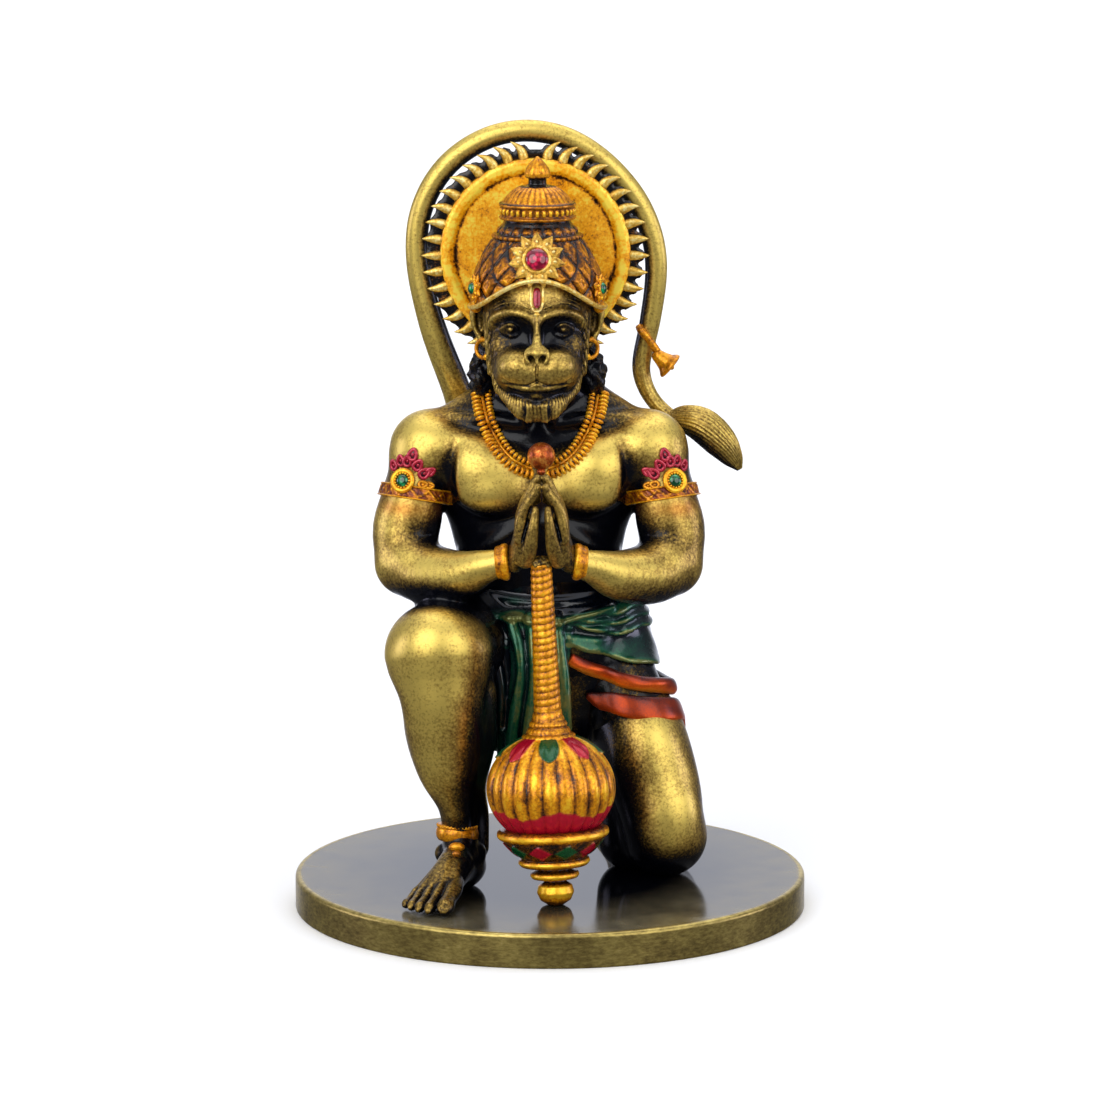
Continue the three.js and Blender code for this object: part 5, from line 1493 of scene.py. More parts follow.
def buildMace(gold, rough):
    # foot, fluted ball, collar and shaft are lathe shapes along the mace's axis
    look = maceLook
    tip, top = np.array(look["tip"]), np.array(look["top"])
    axes = axesFor(top - tip, (0, 1, 0))
    parts = []
    bowlLine = [(0.02, 0.02), (0.9, 0.05), (1.75, 0.6), (2.15, 1.5), (1.95, 2.3), (1.3, 2.75), (1.25, 3.0),
                (2.6, 3.15), (2.85, 3.5), (2.7, 3.9), (1.9, 4.15), (1.9, 4.4), (3.8, 4.6), (4.15, 5.0),
                (4.0, 5.45), (3.7, 5.5), (4.6, 6.3), (5.6, 7.4), (5.7, 7.8), (6.15, 7.85), (6.45, 8.2),
                (6.4, 8.7), (6.0, 9.0), (4.0, 9.1), (0.02, 9.1)]
    profile = softProfile(bowlLine, 0.1, 0.22)
    bowl = lambda h: ramp(h - 5.5, 0.2) * ramp(7.65 - h, 0.2)

    def footGilt(a, h, r):
        rings = hump(h - 3.5, 0.35) + hump(h - 5.05, 0.32) + hump(h - 8.35, 0.45)
        return ramp(0.3 + 0.7 * rings + 0.6 * ramp(2.6 - h, 0.3) * ramp(h, 1.2))

    # diamonds round the bowl: |2 u| + |v| < 1, red and green by turns, with a gold line between
    def bowlDiamond(a, h):
        u = (a * look["diamonds"] / (2 * pi)) % 1 - 0.5
        v = (h - 6.6) / 1.05
        return ramp(1 - np.abs(2.1 * u) - np.abs(v), 0.18) * bowl(h)

    turnIndex = lambda a: np.floor(a * look["diamonds"] / (2 * pi)) % 2
    foot = turned(profile, 150, lambda a, h, r: r + 0.22 * bowlDiamond(a, h), gilt=footGilt,
                  crimson=lambda a, h, r: bowlDiamond(a, h) * turnIndex(a),
                  emerald=lambda a, h, r: bowlDiamond(a, h) * (1 - turnIndex(a)))
    parts.append(foot)
    # fluted ball: r = R sqrt(1 - s^2) with rounded flutes, a red band low down and leaves at the top
    share = np.sin(np.linspace(-1.35, 1.42, 96))
    profile = np.stack([look["radius"] * np.sqrt(1 - share ** 2),
                        look["middle"] + look["halfHeight"] * share], 1)

    def flute(a, h):
        fade = ramp(19.2 - h, 1.2)
        return (np.abs(np.cos(a * look["flutes"] / 2)) ** 0.7 - 1) * fade

    def bandMark(a, h):
        wave = 11.15 + 0.42 * np.sin(a * 5 + 0.9) + 0.12 * np.abs(np.sin(a * 12))
        return ramp(wave - h, 0.12) * ramp(h - 8.75, 0.12)

    def topLeaf(a, h):
        u = (a * look["leaves"] / (2 * pi) + 0.5) % 1 - 0.5
        v = ramp(19.75 - h, 2.5)
        return ramp(0.40 * np.sqrt(ramp(1 - v ** 2)) - np.abs(u), 0.07) * (h > 17.2)

    leafIndex = lambda a: np.floor(a * look["leaves"] / (2 * pi) + 0.5) % 2
    ball = turned(profile, 384, lambda a, h, r: r + look["fluteDepth"] * flute(a, h) + 0.3 * topLeaf(a, h),
                  gilt=lambda a, h, r: ramp(0.84 + 0.46 * flute(a, h) + 0.1 * np.sin(a * 7 + h)),
                  crimson=lambda a, h, r: ramp(bandMark(a, h) + topLeaf(a, h) * leafIndex(a)),
                  emerald=lambda a, h, r: topLeaf(a, h) * (1 - leafIndex(a)))
    parts.append(ball)
    # collar of three beaded rings, and the shaft with rings that climb like a screw
    collar = softProfile([(3.1, 19.2), (2.9, 19.7), (2.35, 20.2), (2.05, 21.0), (1.75, 21.8),
                          (1.55, 22.6)], 0.08, 0.3)
    up = np.arange(22.6, 39.2, 0.07)
    shaftLine = np.stack([1.55 - 0.35 * ramp(up - 22.6, 16), up], 1)
    profile = np.concatenate([[(0.5, 18.6), (2.9, 18.9)], collar, shaftLine, [(1.1, 39.3), (0.6, 39.5)]])

    def rings(a, h):
        climb = (h + 0.34 * np.cos(a + 0.6)) / look["pitch"]
        return np.abs(np.sin(pi * climb)) ** 0.7

    def beads(a, h):
        row = np.abs(np.sin(pi * (h - 19.2) / 0.72)) ** 0.8
        return row * (0.55 + 0.45 * np.abs(np.cos(a * 13)))

    onCollar = lambda h: ramp(21.6 - h, 0.3)
    shaft = turned(profile, 96,
                   lambda a, h, r: r + (1 - onCollar(h)) * 0.08 * (rings(a, h) - 0.5)
                   + onCollar(h) * 0.24 * (beads(a, h) - 0.4) * (h > 19),
                   gilt=lambda a, h, r: 0.5 + 0.28 * (rings(a, h) * (1 - onCollar(h))
                                                      + beads(a, h) * onCollar(h)))
    parts.append(shaft)
    maceShape = placed(joined(parts), tip, axes)
    maceShape["points"][:, 2] = np.maximum(maceShape["points"][:, 2], 4.02)
    makePiece("maceClub", maceShape, gold, "mace")
    # the rough grip end that pokes into the hands
    t, turn = np.meshgrid(np.linspace(0.06, pi - 0.06, 22), wholeTurn(40), indexing="ij")
    lump = 1 + 0.1 * np.sin(5 * turn + 3 * t) * np.sin(4 * t) + 0.06 * np.sin(11 * turn - 7 * t)
    grid = np.stack([1.35 * lump * np.sin(t) * np.cos(turn), 1.25 * lump * np.sin(t) * np.sin(turn),
                     39.4 + 0.8 * lump * np.cos(t)], -1)
    makePiece("maceGrip", placed(ringSkin(grid, gilt=0.5 + 2 * (lump - 1)), tip, axes), rough,
              "mace")


# the tail, its tuft and its bell

# joint is the height where the arch is glued on its stump
tailLook = {"step": 0.24, "around": 44, "joint": 44.3}
tuftLook = {"step": 0.16, "around": 120, "strands": 30, "depth": 0.16, "underside": (-0.62, 0.15, -0.76)}
tailRoute = [(-1.4, 11, 31, 2.3), (-5, 15.2, 36, 2.1), (-8.4, 15.6, 44, 1.9), (-9.8, 12.4, 53, 1.75),
             (-10.8, 10.5, 59, 1.7), (-13.7, 9.9, 66.9, 1.55), (-15.6, 9.9, 75.2, 1.35),
             (-15.0, 9.9, 81.4, 1.3), (-12.0, 9.9, 86.4, 1.3), (-7.4, 9.9, 89.5, 1.3),
             (-2.6, 9.9, 90.4, 1.3), (2.2, 9.9, 89.4, 1.3), (6.6, 9.9, 86.5, 1.3), (10.1, 9.9, 82.4, 1.3),
             (12.0, 9.9, 78.0, 1.3), (12.5, 9.9, 73.5, 1.3), (11.6, 9.9, 66.9, 1.2),
             (10.6, 9.9, 62.2, 1.05), (12.2, 9.5, 58.4, 0.9), (15, 7.9, 56.2, 0.9)]
tuftRoute = [(14.2, 8.2, 56.5, 1.0, 0.9), (16.0, 7.2, 56.7, 1.9, 1.6), (18.0, 6.4, 56.0, 2.5, 2.0),
             (20.0, 5.9, 54.2, 2.25, 1.9), (21.5, 5.9, 52.2, 1.2, 1.2), (22.3, 5.9, 50.9, 0.25, 0.3)]


def outwardAround(line, angle):
    # the outward direction at each point of a tube's skin: side cos a + other sin a
    _, side, other = routeFrame(line[:, :3], (0, -1, 0))
    return side[:, None] * np.cos(angle)[..., None] + other[:, None] * np.sin(angle)[..., None]


def tuftFur():
    # fur: the tube's radius rises and falls in strands that wind slowly as they run
    look = tuftLook
    line = evenLine(smoothLine(tuftRoute, 24), look["step"])
    angle = wholeTurn(look["around"])[None, :]
    run = np.arange(len(line))[:, None] * look["step"]
    wander = 0.9 * np.sin(run * 0.8 + 3 * np.sin(angle)) + 0.6 * np.sin(run * 0.31 + 2 * angle)
    stroke = np.abs(np.sin(look["strands"] * angle / 2 + wander + 0.5 * run))
    # its upper and outer side is gold, its underside is darkened as painted shade
    under = ramp(outwardAround(line, angle) @ np.array(look["underside"]) - 0.1)
    gilt = 0.8 - 1.3 * under + 0.3 * (stroke - 0.6)
    return tube(line[:, :3], line[:, 3:], (0, -1, 0), look["around"], look["depth"] * (stroke - 0.6),
                gilt=gilt)


def buildTail(aged, gold):
    # the arch, the stump under it, the tuft and the bell on its strap
    first = smoothLine(tailRoute, 24)
    start = np.argmin(np.abs(first[:60, 2] - tailLook["joint"]))
    line = evenLine(first[start:], tailLook["step"])
    line[:, :3] = np.stack([neighbourLine(column, 40) for column in line[:, :3].T], 1)
    makePiece("tailArch", archFur(line), aged, node="tail")
    stump = evenLine(first[:start + 3], tailLook["step"])   # it ends just inside the arch
    makePiece("tailRoot", archFur(stump), aged)
    makePiece("tailTuft", tuftFur(), aged, node="tail")
    # strap on the tail and a small bell with a split mouth
    cord = smoothLine([(10.5, 8.9, 67.4), (10.7, 8.4, 67.0), (11.4, 8.3, 66.2), (12.0, 8.3, 65.4),
                       (12.6, 8.4, 64.5)], 10)
    angle = wholeTurn(12)[None, :]
    twist = 0.03 * np.abs(np.sin(angle + np.arange(len(cord))[:, None] * 0.8))
    strap = tube(cord, (0.42, 0.45), (0, -1, 0), 12, twist, gilt=0.6 + 5 * twist)
    makePiece("bellCord", strap, gold, "tail")
    profile = softProfile([(0.02, 1.15), (0.42, 1.05), (0.62, 0.75), (0.78, 0.1), (1.0, -0.5), (1.4, -0.95),
                           (1.45, -1.2), (1.2, -1.3), (0.9, -0.9), (0.02, -0.7)], 0.07, 0.16)
    bell = turned(profile, 48, gilt=lambda a, h, r: 0.74 + 0.1 * np.sin(3 * h) + 0 * a)
    clapper = placed(bead((0.3, 0.3, 0.34), 12, 8, gilt=0.7), (0, 0, -1.25))
    hung = placed(joined([bell, clapper]), (13.15, 8.5, 63.6), axesFor((-0.76, 0, 0.64)) * 1.15)
    makePiece("tailBell", hung, gold, "tail")


def archFur(line):
    # strands of hair along the tail, dark where the tube faces the halo's middle, its inner side, as
    # painted shade; darker towards the bottom too
    angle = wholeTurn(tailLook["around"])[None, :]
    run = np.arange(len(line))[:, None] * tailLook["step"]
    stroke = np.abs(np.sin(5.5 * angle + 0.8 * np.sin(run * 0.7 + 2 * angle) + 0.22 * run))
    centre = np.array([haloLook["x"], 7.0, haloLook["z"]])
    inward = (outwardAround(line, angle) * unit(centre - line[:, :3])[:, None]).sum(-1)
    low = ramp(70 - line[:, 2], 16)[:, None]
    gilt = (1.0 - 2.2 * ramp(inward - 0.5) + (0.05 + 0.2 * low) * (stroke - 0.6)
            - 0.2 * low - 0.2 * low * np.clip(inward, -0.3, 1))
    return tube(line[:, :3], np.repeat(line[:, 3:4], 2, 1), (0, -1, 0), tailLook["around"],
                (0.02 + 0.08 * low) * (stroke - 0.6), gilt=gilt)


# the plinth: a turned disc with a small rounded edge

plinthLook = {"radius": 30.0, "thick": 4.0, "edge": 0.45, "rim": 0.55}


def buildPlinth(lacquer):
    # the profile runs from the underside up the rim and over the rounded edge
    look = plinthLook
    r, h, e = look["radius"], look["thick"], look["edge"]
    turn = np.linspace(0, pi / 2, 9)
    corner = [(r - e + e * cos(a), h - e + e * sin(a)) for a in turn]
    foot = [(r - 0.2 + 0.2 * sin(a), 0.2 - 0.2 * cos(a)) for a in turn[::2]]
    levels = [(r, z) for z in np.linspace(0.3, h - e - 0.05, 14)]
    top = [(r - e - step, h) for step in (0.1, 0.3, 0.6, 1.2, 2.5, 5, 9, 14, 19, 24, 27)]
    profile = np.array([(0.05, 0), (20, 0)] + foot + levels + corner + top + [(0.05, h)])
    # topFace marks the top inside the rim; edge marks the rounded edge, along which the lacquer paints a
    # faint highlight
    disc = turned(profile, 320,
                  topFace=lambda a, z, radius: (z > h - 0.01) * ramp(r - look["rim"] - radius, 0.25),
                  edge=lambda a, z, radius: ramp(1 - np.abs(np.hypot(r - e - radius, z - h + e) - e) / 0.1)
                  * (z > h - e - 0.02) * (radius > r - look["rim"] - 0.3))
    makePiece("plinth", disc, lacquer, "base_disc")


# finishes: cast resin, lacquered black, then brushed and wiped with metallic paints

def brushedPaint(name, look):
    # metallic paint dragged over gloss lacquer: where gilt is high the paint covers, where it is low
    # the dark lacquer shows, and between them the paint breaks into specks as a dry brush leaves it
    material, tree = newMaterial(name)
    place = addNode(tree, "TexCoord").outputs["Object"]
    # gilt is the paint's cover, with the painted shade and highlights that the pieces put into it
    gilt = addNode(tree, "Attribute", {"attribute_name": "gilt"}).outputs["Fac"]
    speck = addNode(tree, "TexNoise", Vector=place, Scale=1 / (look["grain"] * mm), Detail=3, Roughness=0.7)
    cloud = addNode(tree, "TexNoise", Vector=place, Scale=1 / (look["cloud"] * mm), Detail=3,
                    Roughness=0.55)
    speckPush = addNode(tree, "MapRange", Value=speck.outputs[0], From_Min=0.25, From_Max=0.75,
                        To_Min=-look["grainPush"], To_Max=look["grainPush"])
    cloudPush = addNode(tree, "MapRange", Value=cloud.outputs[0], From_Min=0.25, From_Max=0.75,
                        To_Min=-look["cloudPush"], To_Max=look["cloudPush"])
    first = addNode(tree, "Math", {"operation": "ADD"}, in0=gilt, in1=speckPush.outputs[0])
    worn = addNode(tree, "Math", {"operation": "ADD", "use_clamp": True}, in0=first.outputs[0],
                   in1=cloudPush.outputs[0]).outputs[0]
    colour = addNode(tree, "ValToRGB", Fac=worn)
    fillRamp(colour, look["stops"])
    colour = colour.outputs[0]
    low, high = look["edge"]
    metallic = addNode(tree, "MapRange", Value=worn, From_Min=low, From_Max=high,
                       To_Min=look["metallic"][0], To_Max=look["metallic"][1]).outputs[0]
    rough = addNode(tree, "MapRange", Value=worn, From_Min=low, From_Max=high,
                    To_Min=look["roughness"][0], To_Max=look["roughness"][1]).outputs[0]
    if "enamel" in look:
        # translucent enamel colours over the gold, a little darker where the relief is low
        for mark, hexCode in look["enamel"]:
            cover = addNode(tree, "Attribute", {"attribute_name": mark}).outputs["Fac"]
            tint = addNode(tree, "Mix", {"data_type": "RGBA", "blend_type": "MULTIPLY"}, in0=0.55,
                           in6=linearColour(hexCode), in7=speck.outputs[0])
            colour = addNode(tree, "Mix", {"data_type": "RGBA"}, in0=cover, in6=colour,
                             in7=tint.outputs[2]).outputs[2]
            metallic = addNode(tree, "Mix", {"data_type": "FLOAT"}, in0=cover, in2=metallic,
                               in3=0.35).outputs[0]
            rough = addNode(tree, "Mix", {"data_type": "FLOAT"}, in0=cover, in2=rough, in3=0.24).outputs[0]
    grit = addNode(tree, "TexNoise", Vector=place, Scale=1 / (look["grit"] * mm), Detail=2)
    bump = addNode(tree, "Bump", Height=grit.outputs[0], Distance=look["gritHeight"] * mm,
                   Strength=look["bump"])
    shader = addNode(tree, "BsdfPrincipled", Base_Color=colour, Metallic=metallic, Roughness=rough,
                     Normal=bump.outputs[0])
    shader.inputs["Coat Weight"].default_value = look["coat"]
    shader.inputs["Coat Roughness"].default_value = look["coatRoughness"]
    shader.inputs["Specular IOR Level"].default_value = look.get("gloss", 0.5)
    addNode(tree, "OutputMaterial", Surface=shader.outputs[0])
    return material


# aged gold: olive mica paint over black gloss lacquer; satin where it covers, glossy navy in the hollows
agedGoldLook = {
    "stops": [(0.0, "#04050b"), (0.2, "#08080d"), (0.36, "#21190f"), (0.5, "#57441f"), (0.66, "#96793a"),
              (0.84, "#c4a350"), (1.0, "#e8cb66")],
    "grain": 0.32, "grainPush": 0.27, "cloud": 2.6, "cloudPush": 0.1, "edge": (0.2, 0.56),
    "metallic": (0.0, 0.85), "roughness": (0.2, 0.4), "grit": 0.24, "gritHeight": 0.035, "bump": 0.5,
    "coat": 0.1, "coatRoughness": 0.14, "gloss": 0.22, "enamel": [("amber", "#d87a14")]}
# warm gold: orange-gold paint with brown wash left in the grooves
warmGoldLook = {
    "stops": [(0.0, "#060507"), (0.2, "#170b05"), (0.4, "#5a3006"), (0.6, "#b36c08"), (0.82, "#ee9c0a"),
              (1.0, "#ffc628")],
    "grain": 0.34, "grainPush": 0.25, "cloud": 1.6, "cloudPush": 0.17, "edge": (0.15, 0.5),
    "metallic": (0.1, 0.6), "roughness": (0.22, 0.34), "grit": 0.24, "gritHeight": 0.03, "bump": 0.45,
    "coat": 0.15, "coatRoughness": 0.1, "enamel": [("crimson", "#c8102e"), ("emerald", "#0f5a2c")]}
# halo gold: brighter and yellower, rubbed on in patches over the brown wash
haloGoldLook = {**warmGoldLook, "cloud": 2.0, "cloudPush": 0.34, "grainPush": 0.3, "metallic": (0.03, 0.22),
                "grit": 0.3, "gritHeight": 0.05, "bump": 0.6,
                "stops": [(0.0, "#060507"), (0.2, "#1c1006"), (0.4, "#7c4a06"), (0.52, "#e08e06"),
                          (0.74, "#ffb20a"), (1.0, "#ffe04a")]}
# pale gold: a thinner, yellower coat on the rays, the crown's brim and the flower's petals
paleGoldLook = {**warmGoldLook, "metallic": (0.1, 0.55),
                "stops": [(0.0, "#060507"), (0.2, "#1a1008"), (0.42, "#6e4a12"), (0.62, "#c08e2a"),
                          (0.82, "#e6b848"), (1.0, "#fbe692")]}
# green cloth paint: dark metallic green over black, brighter on the crests of the folds
greenLook = {
    "stops": [(0.0, "#03040a"), (0.3, "#040a14"), (0.48, "#051c1c"), (0.66, "#07342a"), (0.84, "#155a3a"),
              (1.0, "#74783e")],
    "grain": 0.24, "grainPush": 0.08, "cloud": 2.2, "cloudPush": 0.12, "edge": (0.3, 0.6),
    "metallic": (0.1, 0.6), "roughness": (0.14, 0.28), "grit": 0.2, "gritHeight": 0.012, "bump": 0.3,
    "coat": 0.4, "coatRoughness": 0.08}
# copper cloth paint: red-brown with a bright orange sheen along the lower edges
copperLook = {
    "stops": [(0.0, "#140708"), (0.22, "#561a12"), (0.5, "#ac3a0a"), (0.78, "#ea620a"), (1.0, "#ff9226")],
    "grain": 0.2, "grainPush": 0.1, "cloud": 2.0, "cloudPush": 0.1, "edge": (0.1, 0.5),
    "metallic": (0.3, 0.7), "roughness": (0.26, 0.32), "grit": 0.2, "gritHeight": 0.015, "bump": 0.3,
    "coat": 0.08, "coatRoughness": 0.1}
# copper bead: dark red-brown paint rubbed with orange gold
beadLook = {**copperLook, "cloud": 0.9, "cloudPush": 0.35, "grainPush": 0.2,
            "stops": [(0.0, "#2a0d05"), (0.35, "#6e2a0c"), (0.65, "#b8541a"), (1.0, "#f0a84a")]}
# crimson enamel: deep red lacquer over gold, wet-looking
crimsonLook = {
    "stops": [(0.0, "#2c0410"), (0.35, "#6e0a20"), (0.7, "#ac1530"), (1.0, "#d8485c")],
    "grain": 0.25, "grainPush": 0.2, "cloud": 1.2, "cloudPush": 0.15, "edge": (0.2, 0.8),
    "metallic": (0.2, 0.45), "roughness": (0.22, 0.26), "grit": 0.2, "gritHeight": 0.012, "bump": 0.3,
    "coat": 0.6, "coatRoughness": 0.06}


def cutGlass(name, hexDark, hexBright):
    # coloured glass paste, poured and polished: a dark clear body with a small bright heart
    material, tree = newMaterial(name)
    place = addNode(tree, "TexCoord").outputs["Object"]
    heart = addNode(tree, "TexVoronoi", {"feature": "F1"}, Vector=place, Scale=1 / (0.55 * mm))
    colour = addNode(tree, "ValToRGB", Fac=heart.outputs["Distance"])
    fillRamp(colour, [(0.15, hexBright), (0.6, hexDark)])
    shader = addNode(tree, "BsdfPrincipled", Base_Color=colour.outputs[0], Roughness=0.06, Metallic=0.15)
    shader.inputs["IOR"].default_value = 1.55
    shader.inputs["Coat Weight"].default_value = 0.8
    shader.inputs["Coat Roughness"].default_value = 0.03
    addNode(tree, "OutputMaterial", Surface=shader.outputs[0])
    return material


plinthPaint = {"lacquer": "#05060b", "goldHazeAndReflection": "#8a7f60", "streak": 0.3, "blotch": 3.5,
               "sideStops": [(0.2, "#3a3018"), (0.42, "#86733f"), (0.6, "#bba55c"), (0.85, "#e0cc86")]}


def plinthLacquer():
    # black gloss lacquer, sprayed and polished, on the top; its side is wiped with gold in streaks
    # that run round the turned edge
    look = plinthPaint
    material, tree = newMaterial("blueBlackGlossLacquer")
    place = addNode(tree, "TexCoord").outputs["Object"]
    topMark = addNode(tree, "Attribute", {"attribute_name": "topFace"}).outputs["Fac"]
    edgeHighlightMark = addNode(tree, "Attribute", {"attribute_name": "edge"}).outputs["Fac"]
    along = addNode(tree, "Mapping", in0=place, in3=(0.4, 0.4, 1.0))
    streak = addNode(tree, "TexNoise", Vector=along.outputs[0], Scale=1 / (look["streak"] * mm), Detail=4,
                     Roughness=0.65)
    blotch = addNode(tree, "TexNoise", Vector=place, Scale=1 / (look["blotch"] * mm), Detail=3,
                     Roughness=0.6)
    both = addNode(tree, "Mix", {"data_type": "FLOAT"}, in0=0.42, in2=streak.outputs[0],
                   in3=blotch.outputs[0])
    # a faint painted highlight along the rounded edge, on top of the streaks
    lifted = addNode(tree, "Math", {"operation": "MULTIPLY_ADD"}, in0=edgeHighlightMark, in1=0.04,
                     in2=both.outputs[0])
    side = addNode(tree, "ValToRGB", Fac=lifted.outputs[0])
    fillRamp(side, look["sideStops"])
    # the top keeps a faint brown haze of wiped gold in from the edge, which also serves as a painted
    # reflection of the pale room, growing towards the rim
    far = addNode(tree, "VectorMath", {"operation": "LENGTH"}, in0=place)
    nearEdge = addNode(tree, "MapRange", Value=far.outputs["Value"], From_Min=15 * mm, From_Max=30 * mm)
    hazeAndReflectionShare = addNode(tree, "Math", {"operation": "MULTIPLY"}, in0=nearEdge.outputs[0],
                        in1=blotch.outputs[0])
    top = addNode(tree, "Mix", {"data_type": "RGBA"}, in0=hazeAndReflectionShare.outputs[0],
                  in6=linearColour(look["lacquer"]), in7=linearColour(look["goldHazeAndReflection"]))
    colour = addNode(tree, "Mix", {"data_type": "RGBA"}, in0=topMark, in6=side.outputs[0],
                     in7=top.outputs[2])
    metallic = addNode(tree, "MapRange", Value=topMark, To_Min=0.85, To_Max=0.0)
    scuff = addNode(tree, "MapRange", Value=hazeAndReflectionShare.outputs[0], To_Min=0.06, To_Max=0.34)
    rough = addNode(tree, "Mix", {"data_type": "FLOAT"}, in0=topMark, in2=0.32, in3=scuff.outputs[0])
    ripple = addNode(tree, "Math", {"operation": "MULTIPLY"}, in0=streak.outputs[0],
                     in1=metallic.outputs[0])
    bump = addNode(tree, "Bump", Height=ripple.outputs[0], Distance=0.04 * mm, Strength=0.5)
    shader = addNode(tree, "BsdfPrincipled", Base_Color=colour.outputs[2], Metallic=metallic.outputs[0],
                     Roughness=rough.outputs[0], Normal=bump.outputs[0])
    shader.inputs["IOR"].default_value = 1.5
    addNode(tree, "OutputMaterial", Surface=shader.outputs[0])
    return material


# putting it together

agedGold = brushedPaint("agedGoldOverBlack", agedGoldLook)
warmGold = brushedPaint("warmGoldWithBrownWash", warmGoldLook)
haloGold = brushedPaint("haloGoldInPatches", haloGoldLook)
paleGold = brushedPaint("paleGoldWithBrownWash", paleGoldLook)
greenCloth = brushedPaint("greenMetallicClothPaint", greenLook)
copperCloth = brushedPaint("copperMetallicClothPaint", copperLook)
copperBead = brushedPaint("rubbedCopperPaint", beadLook)
crimson = brushedPaint("crimsonEnamel", crimsonLook)
ruby = cutGlass("redGlassPaste", "#6e0620", "#d81e4c")
emeraldStone = cutGlass("greenGlassPaste", "#033a1e", "#1f9a5a")
lacquer = plinthLacquer()

# a coarse clay of the whole object tells how deep in its hollows a point lies and how closely other parts,
# the plinth, mace and halo among them, close round it; less gold there is partly painted shade
roomLook = {"step": 0.8, "low": (-33, -33, -4), "high": (33, 33, 97)}


def sculptSurroundings(clay):
    # all castings, the plinth, and simple forms for the crown, halo, mace and tail
    for sculpt in (sculptTrunk, sculptArms, sculptLegs, sculptFrontFoot, sculptHands,
                   sculptHead, sculptHair, sculptHips):
        sculpt(clay)
    cut, (x, y, z) = wholeGrid(clay)
    slab = np.maximum(np.hypot(x, y) - plinthLook["radius"], z - plinthLook["thick"])
    press(clay, cut, np.broadcast_to(slab, clay["field"].shape).astype(np.float32), 0.2)
    limb(clay, [(-1.45, 0.8, 76.5, 6.6), (-1.45, 0.3, 80, 5), (-1.45, 0.3, 85, 2.4)], 0.5)
    oval(clay, (haloLook["x"], haloLook["y"] + 0.6, haloLook["z"]), (11.4, 0.9, 11.4), 0.3)
    limb(clay, [(*maceLook["tip"], 2.4), (0.3, -15.8, 13.4, 6.9)], 0.5, steps=4)
    oval(clay, (0.2, -15.7, 17.4), (7.2, 7.2, 6.4), 0.5)
    limb(clay, [(0.0, -15.3, 22, 1.5), (*maceLook["top"], 1.3)], 0.5, steps=4)
    limb(clay, tailRoute, 0.5, steps=4)


surroundings = newClay(roomLook["low"], roomLook["high"], roomLook["step"])
sculptSurroundings(surroundings)
# hollows are looked for at three sizes: the box averaged, how far outside the skin it is read, and the
# solid share there that counts as neither hollow nor raised; the gold a hollow loses is partly the lacquer
# that the brush missed and partly painted shade
hollowLook = {"fine": (0.55, 0.1, 0.5), "middle": (1.5, 0.3, 0.4), "broad": (4.5, 0.8, 0.3)}
roomShare = {key: softened(surroundings, hollowLook[key][0]) for key in ("middle", "broad")}
print("surroundings ready")

# the brush came from the front and above, a little from the viewer's left, and faces turned that way are
# also made brighter as painted light from the upper left: weights to the right, to the front and upwards,
# and the level taken off
brushAndLightFrom = (-0.25, 0.78, 0.5, 0.6)
# how the brush went: more gold where the shape stands out, less in its hollows, partly as painted shade,
# and more on faces turned to the brush and to the light, partly as painted light; most is the upper limit
paintLook = {"base": 0.73, "fine": 0.6, "middle": 1.7, "broad": 1.9, "brushAndLight": 0.42, "relief": 0, "most": 1}
# places that the brush missed or went over twice, as (x, y, z, radii, amount), and with them painted shade
# under the forearms, inside the legs, on the belly, under the chin and at the wrists, and painted
# highlights on the knees and chest
brushAndLightSpots = [
    (-1.3, -3.5, 42.0, 9.0, 6.0, 5.5, -0.75), (-1.3, -4.5, 47.4, 7.5, 4.0, 1.6, -0.3),
    (-1.3, -4.5, 56.5, 4.0, 4.0, 2.6, -0.6), (-1.3, -3.0, 60.5, 5.6, 4.5, 3.4, -0.9),
    (-7.4, -9.0, 19.0, 3.2, 7.0, 10.0, -0.7), (-11.0, -12.5, 12.5, 4.0, 5.0, 4.0, -0.35),
    (-1.3, -6.0, 38.4, 5.5, 4.0, 2.0, -0.9), (-8.4, -12.0, 30.0, 2.4, 5.0, 5.0, -0.25),
    (8.4, -3.5, 13.0, 3.4, 6.0, 9.0, -0.8), (13.0, -6.0, 6.0, 7.0, 5.0, 3.0, -0.3),
    (-13.2, -14.5, 33.5, 4.0, 4.0, 4.5, 0.15), (13.5, -6.5, 17.0, 4.5, 4.0, 5.0, 0.15),
    (13.0, -8.0, 37.8, 7.0, 5.0, 1.9, -0.55), (-15.0, -8.0, 38.0, 7.0, 5.0, 2.0, -0.5),
    (-6.6, -5.0, 52.4, 4.5, 4.0, 2.8, 0.22), (4.2, -5.0, 52.4, 4.5, 4.0, 2.8, 0.2),
    (8.9, -2.0, 11.0, 3.0, 5.0, 9.0, -0.8), (-16.5, -1.0, 46.0, 5.0, 6.0, 6.0, -0.22),
    (14.0, -1.0, 46.0, 5.0, 6.0, 6.0, -0.2), (13.0, -2.0, 55.0, 4.0, 5.0, 3.0, -0.12),
    (9.0, -9.0, 41.0, 5.0, 4.0, 3.0, -0.12), (-13.0, -16.0, 29.6, 3.6, 4.0, 3.4, 0.25),
    (-7.0, -11.0, 28.5, 1.5, 4.0, 2.4, 0.5), (-4.3, -11.8, 42.9, 1.3, 3.0, 2.4, -0.8),
    (2.3, -11.8, 42.9, 1.1, 3.0, 2.4, -0.8)]
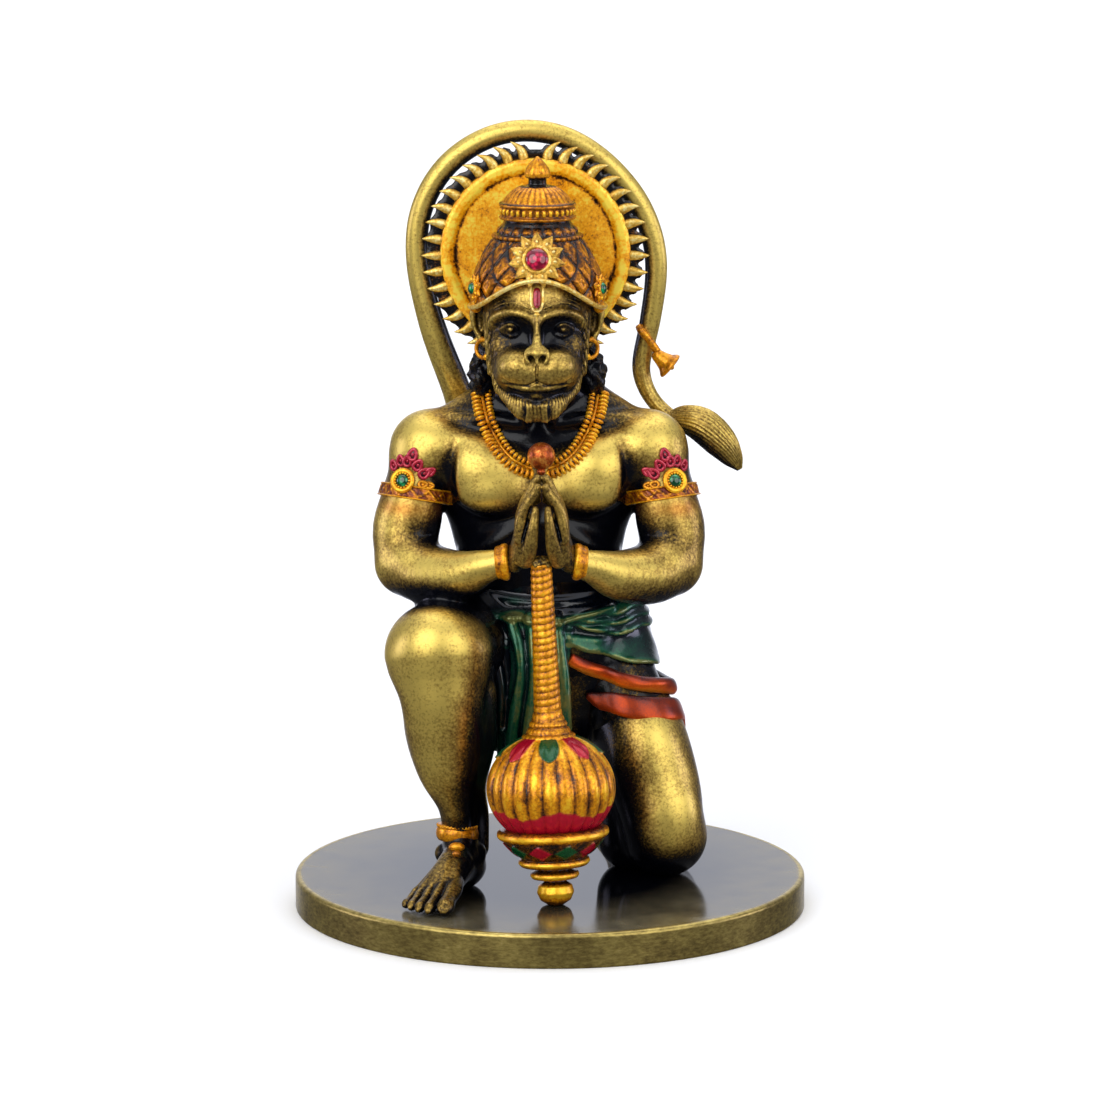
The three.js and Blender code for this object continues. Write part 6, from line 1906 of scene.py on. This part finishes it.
brushAndLightSpots += [(midline + side * reach, *rest) for side in (-1, 1) for reach, *rest in (
    (9.9, -3.0, 47.0, 2.6, 4.0, 5.0, -0.3), (4.3, -5.0, 44.6, 3.6, 3.0, 2.0, -0.6),
    (6.7, -1.0, 58.4, 3.5, 4.0, 1.6, -0.35), (6.7, -5.5, 49.8, 2.8, 3.0, 2.6, 0.32),
    (6.3, -3.5, 55.2, 3.6, 3.5, 1.8, 0.25))]
# places where warm gold from the armlets was smeared on the skin
amberSpots = [(-17.0, -3.0, 47.9, 2.6, 3.0, 0.9, 0.8), (14.4, -3.0, 47.9, 2.6, 3.0, 0.9, 0.7),
              (-2.0, -7.0, 49.5, 3.0, 2.0, 1.5, 0.2)]


def giltOf(points, way, clay, look):
    # base + weight * (level - solid share) at each size of hollow, partly painted shade, + how squarely it
    # faces the brush, partly painted light from the upper left
    gilt = look["base"]
    for key, (reach, out, level) in hollowLook.items():
        where, share = (clay, softened(clay, reach)) if key == "fine" else (surroundings, roomShare[key])
        gilt = gilt + look[key] * (level - sampled(where, points + way * out, share))
    right, front, above, level = brushAndLightFrom
    facing = front * np.abs(way[:, 1]) + above * way[:, 2] + right * way[:, 0]
    return gilt + look["brushAndLight"] * (facing - level)


def castFrom(name, look, sculpts, material, spots=(), relief=None, extra=None, amber=()):
    # sculpts a region, peels it, raises its fine relief and works out its gilt
    clay = newClay(look["low"], look["high"], look["step"])
    for sculpt in sculpts:
        sculpt(clay)
    shape, way = peeled(clay)
    paint = {**paintLook, **look.get("paint", {})}
    gilt = giltOf(shape["points"], way, clay, paint) + spotPush(shape["points"], spots)
    if extra is not None:
        gilt = gilt + extra(shape["points"])
    if relief is not None:
        lift = relief(shape["points"])
        shape["points"] = shape["points"] + way * lift[:, None]
        gilt = gilt + paint["relief"] * lift
    shape["marks"]["gilt"] = np.clip(gilt, 0, paint["most"])
    if len(amber):
        shape["marks"]["amber"] = ramp(spotPush(shape["points"], amber))
    makePiece(name, shape, material)
    return clay


bodyClay = castFrom("body", bodyLook, [sculptTrunk, sculptArms, sculptLegs], agedGold, brushAndLightSpots,
                    amber=amberSpots)
footClay = castFrom("frontFoot", footLook, [sculptFrontFoot], agedGold, footShadeSpots)
castFrom("hands", handLook, [sculptHands], agedGold, handShadeSpots)
headClay = castFrom("head", headLook, [sculptHead], agedGold, faceShadeAndHighlightSpots, furRelief)
castFrom("hair", hairLook, [sculptHair], agedGold, relief=curlRelief)
castFrom("hipCloth", clothLook, [sculptCloth], greenCloth, extra=clothGilt)
castFrom("underCloth", {**clothLook, "paint": {"base": 0.4}}, [sculptUnderCloth], agedGold)
buildBands(copperCloth)
buildCrown(warmGold, paleGold)
buildCrownJewels(warmGold, paleGold, ruby, emeraldStone)
buildBrowMark(headClay, paleGold, crimson)
buildNecklace(bodyClay, warmGold, copperBead)
buildArmlets(bodyClay, warmGold, crimson, emeraldStone)
buildRings(footClay, warmGold)
buildHalo(haloGold, paleGold)
buildMace(warmGold, agedGold)
buildTail(agedGold, warmGold)
buildPlinth(lacquer)
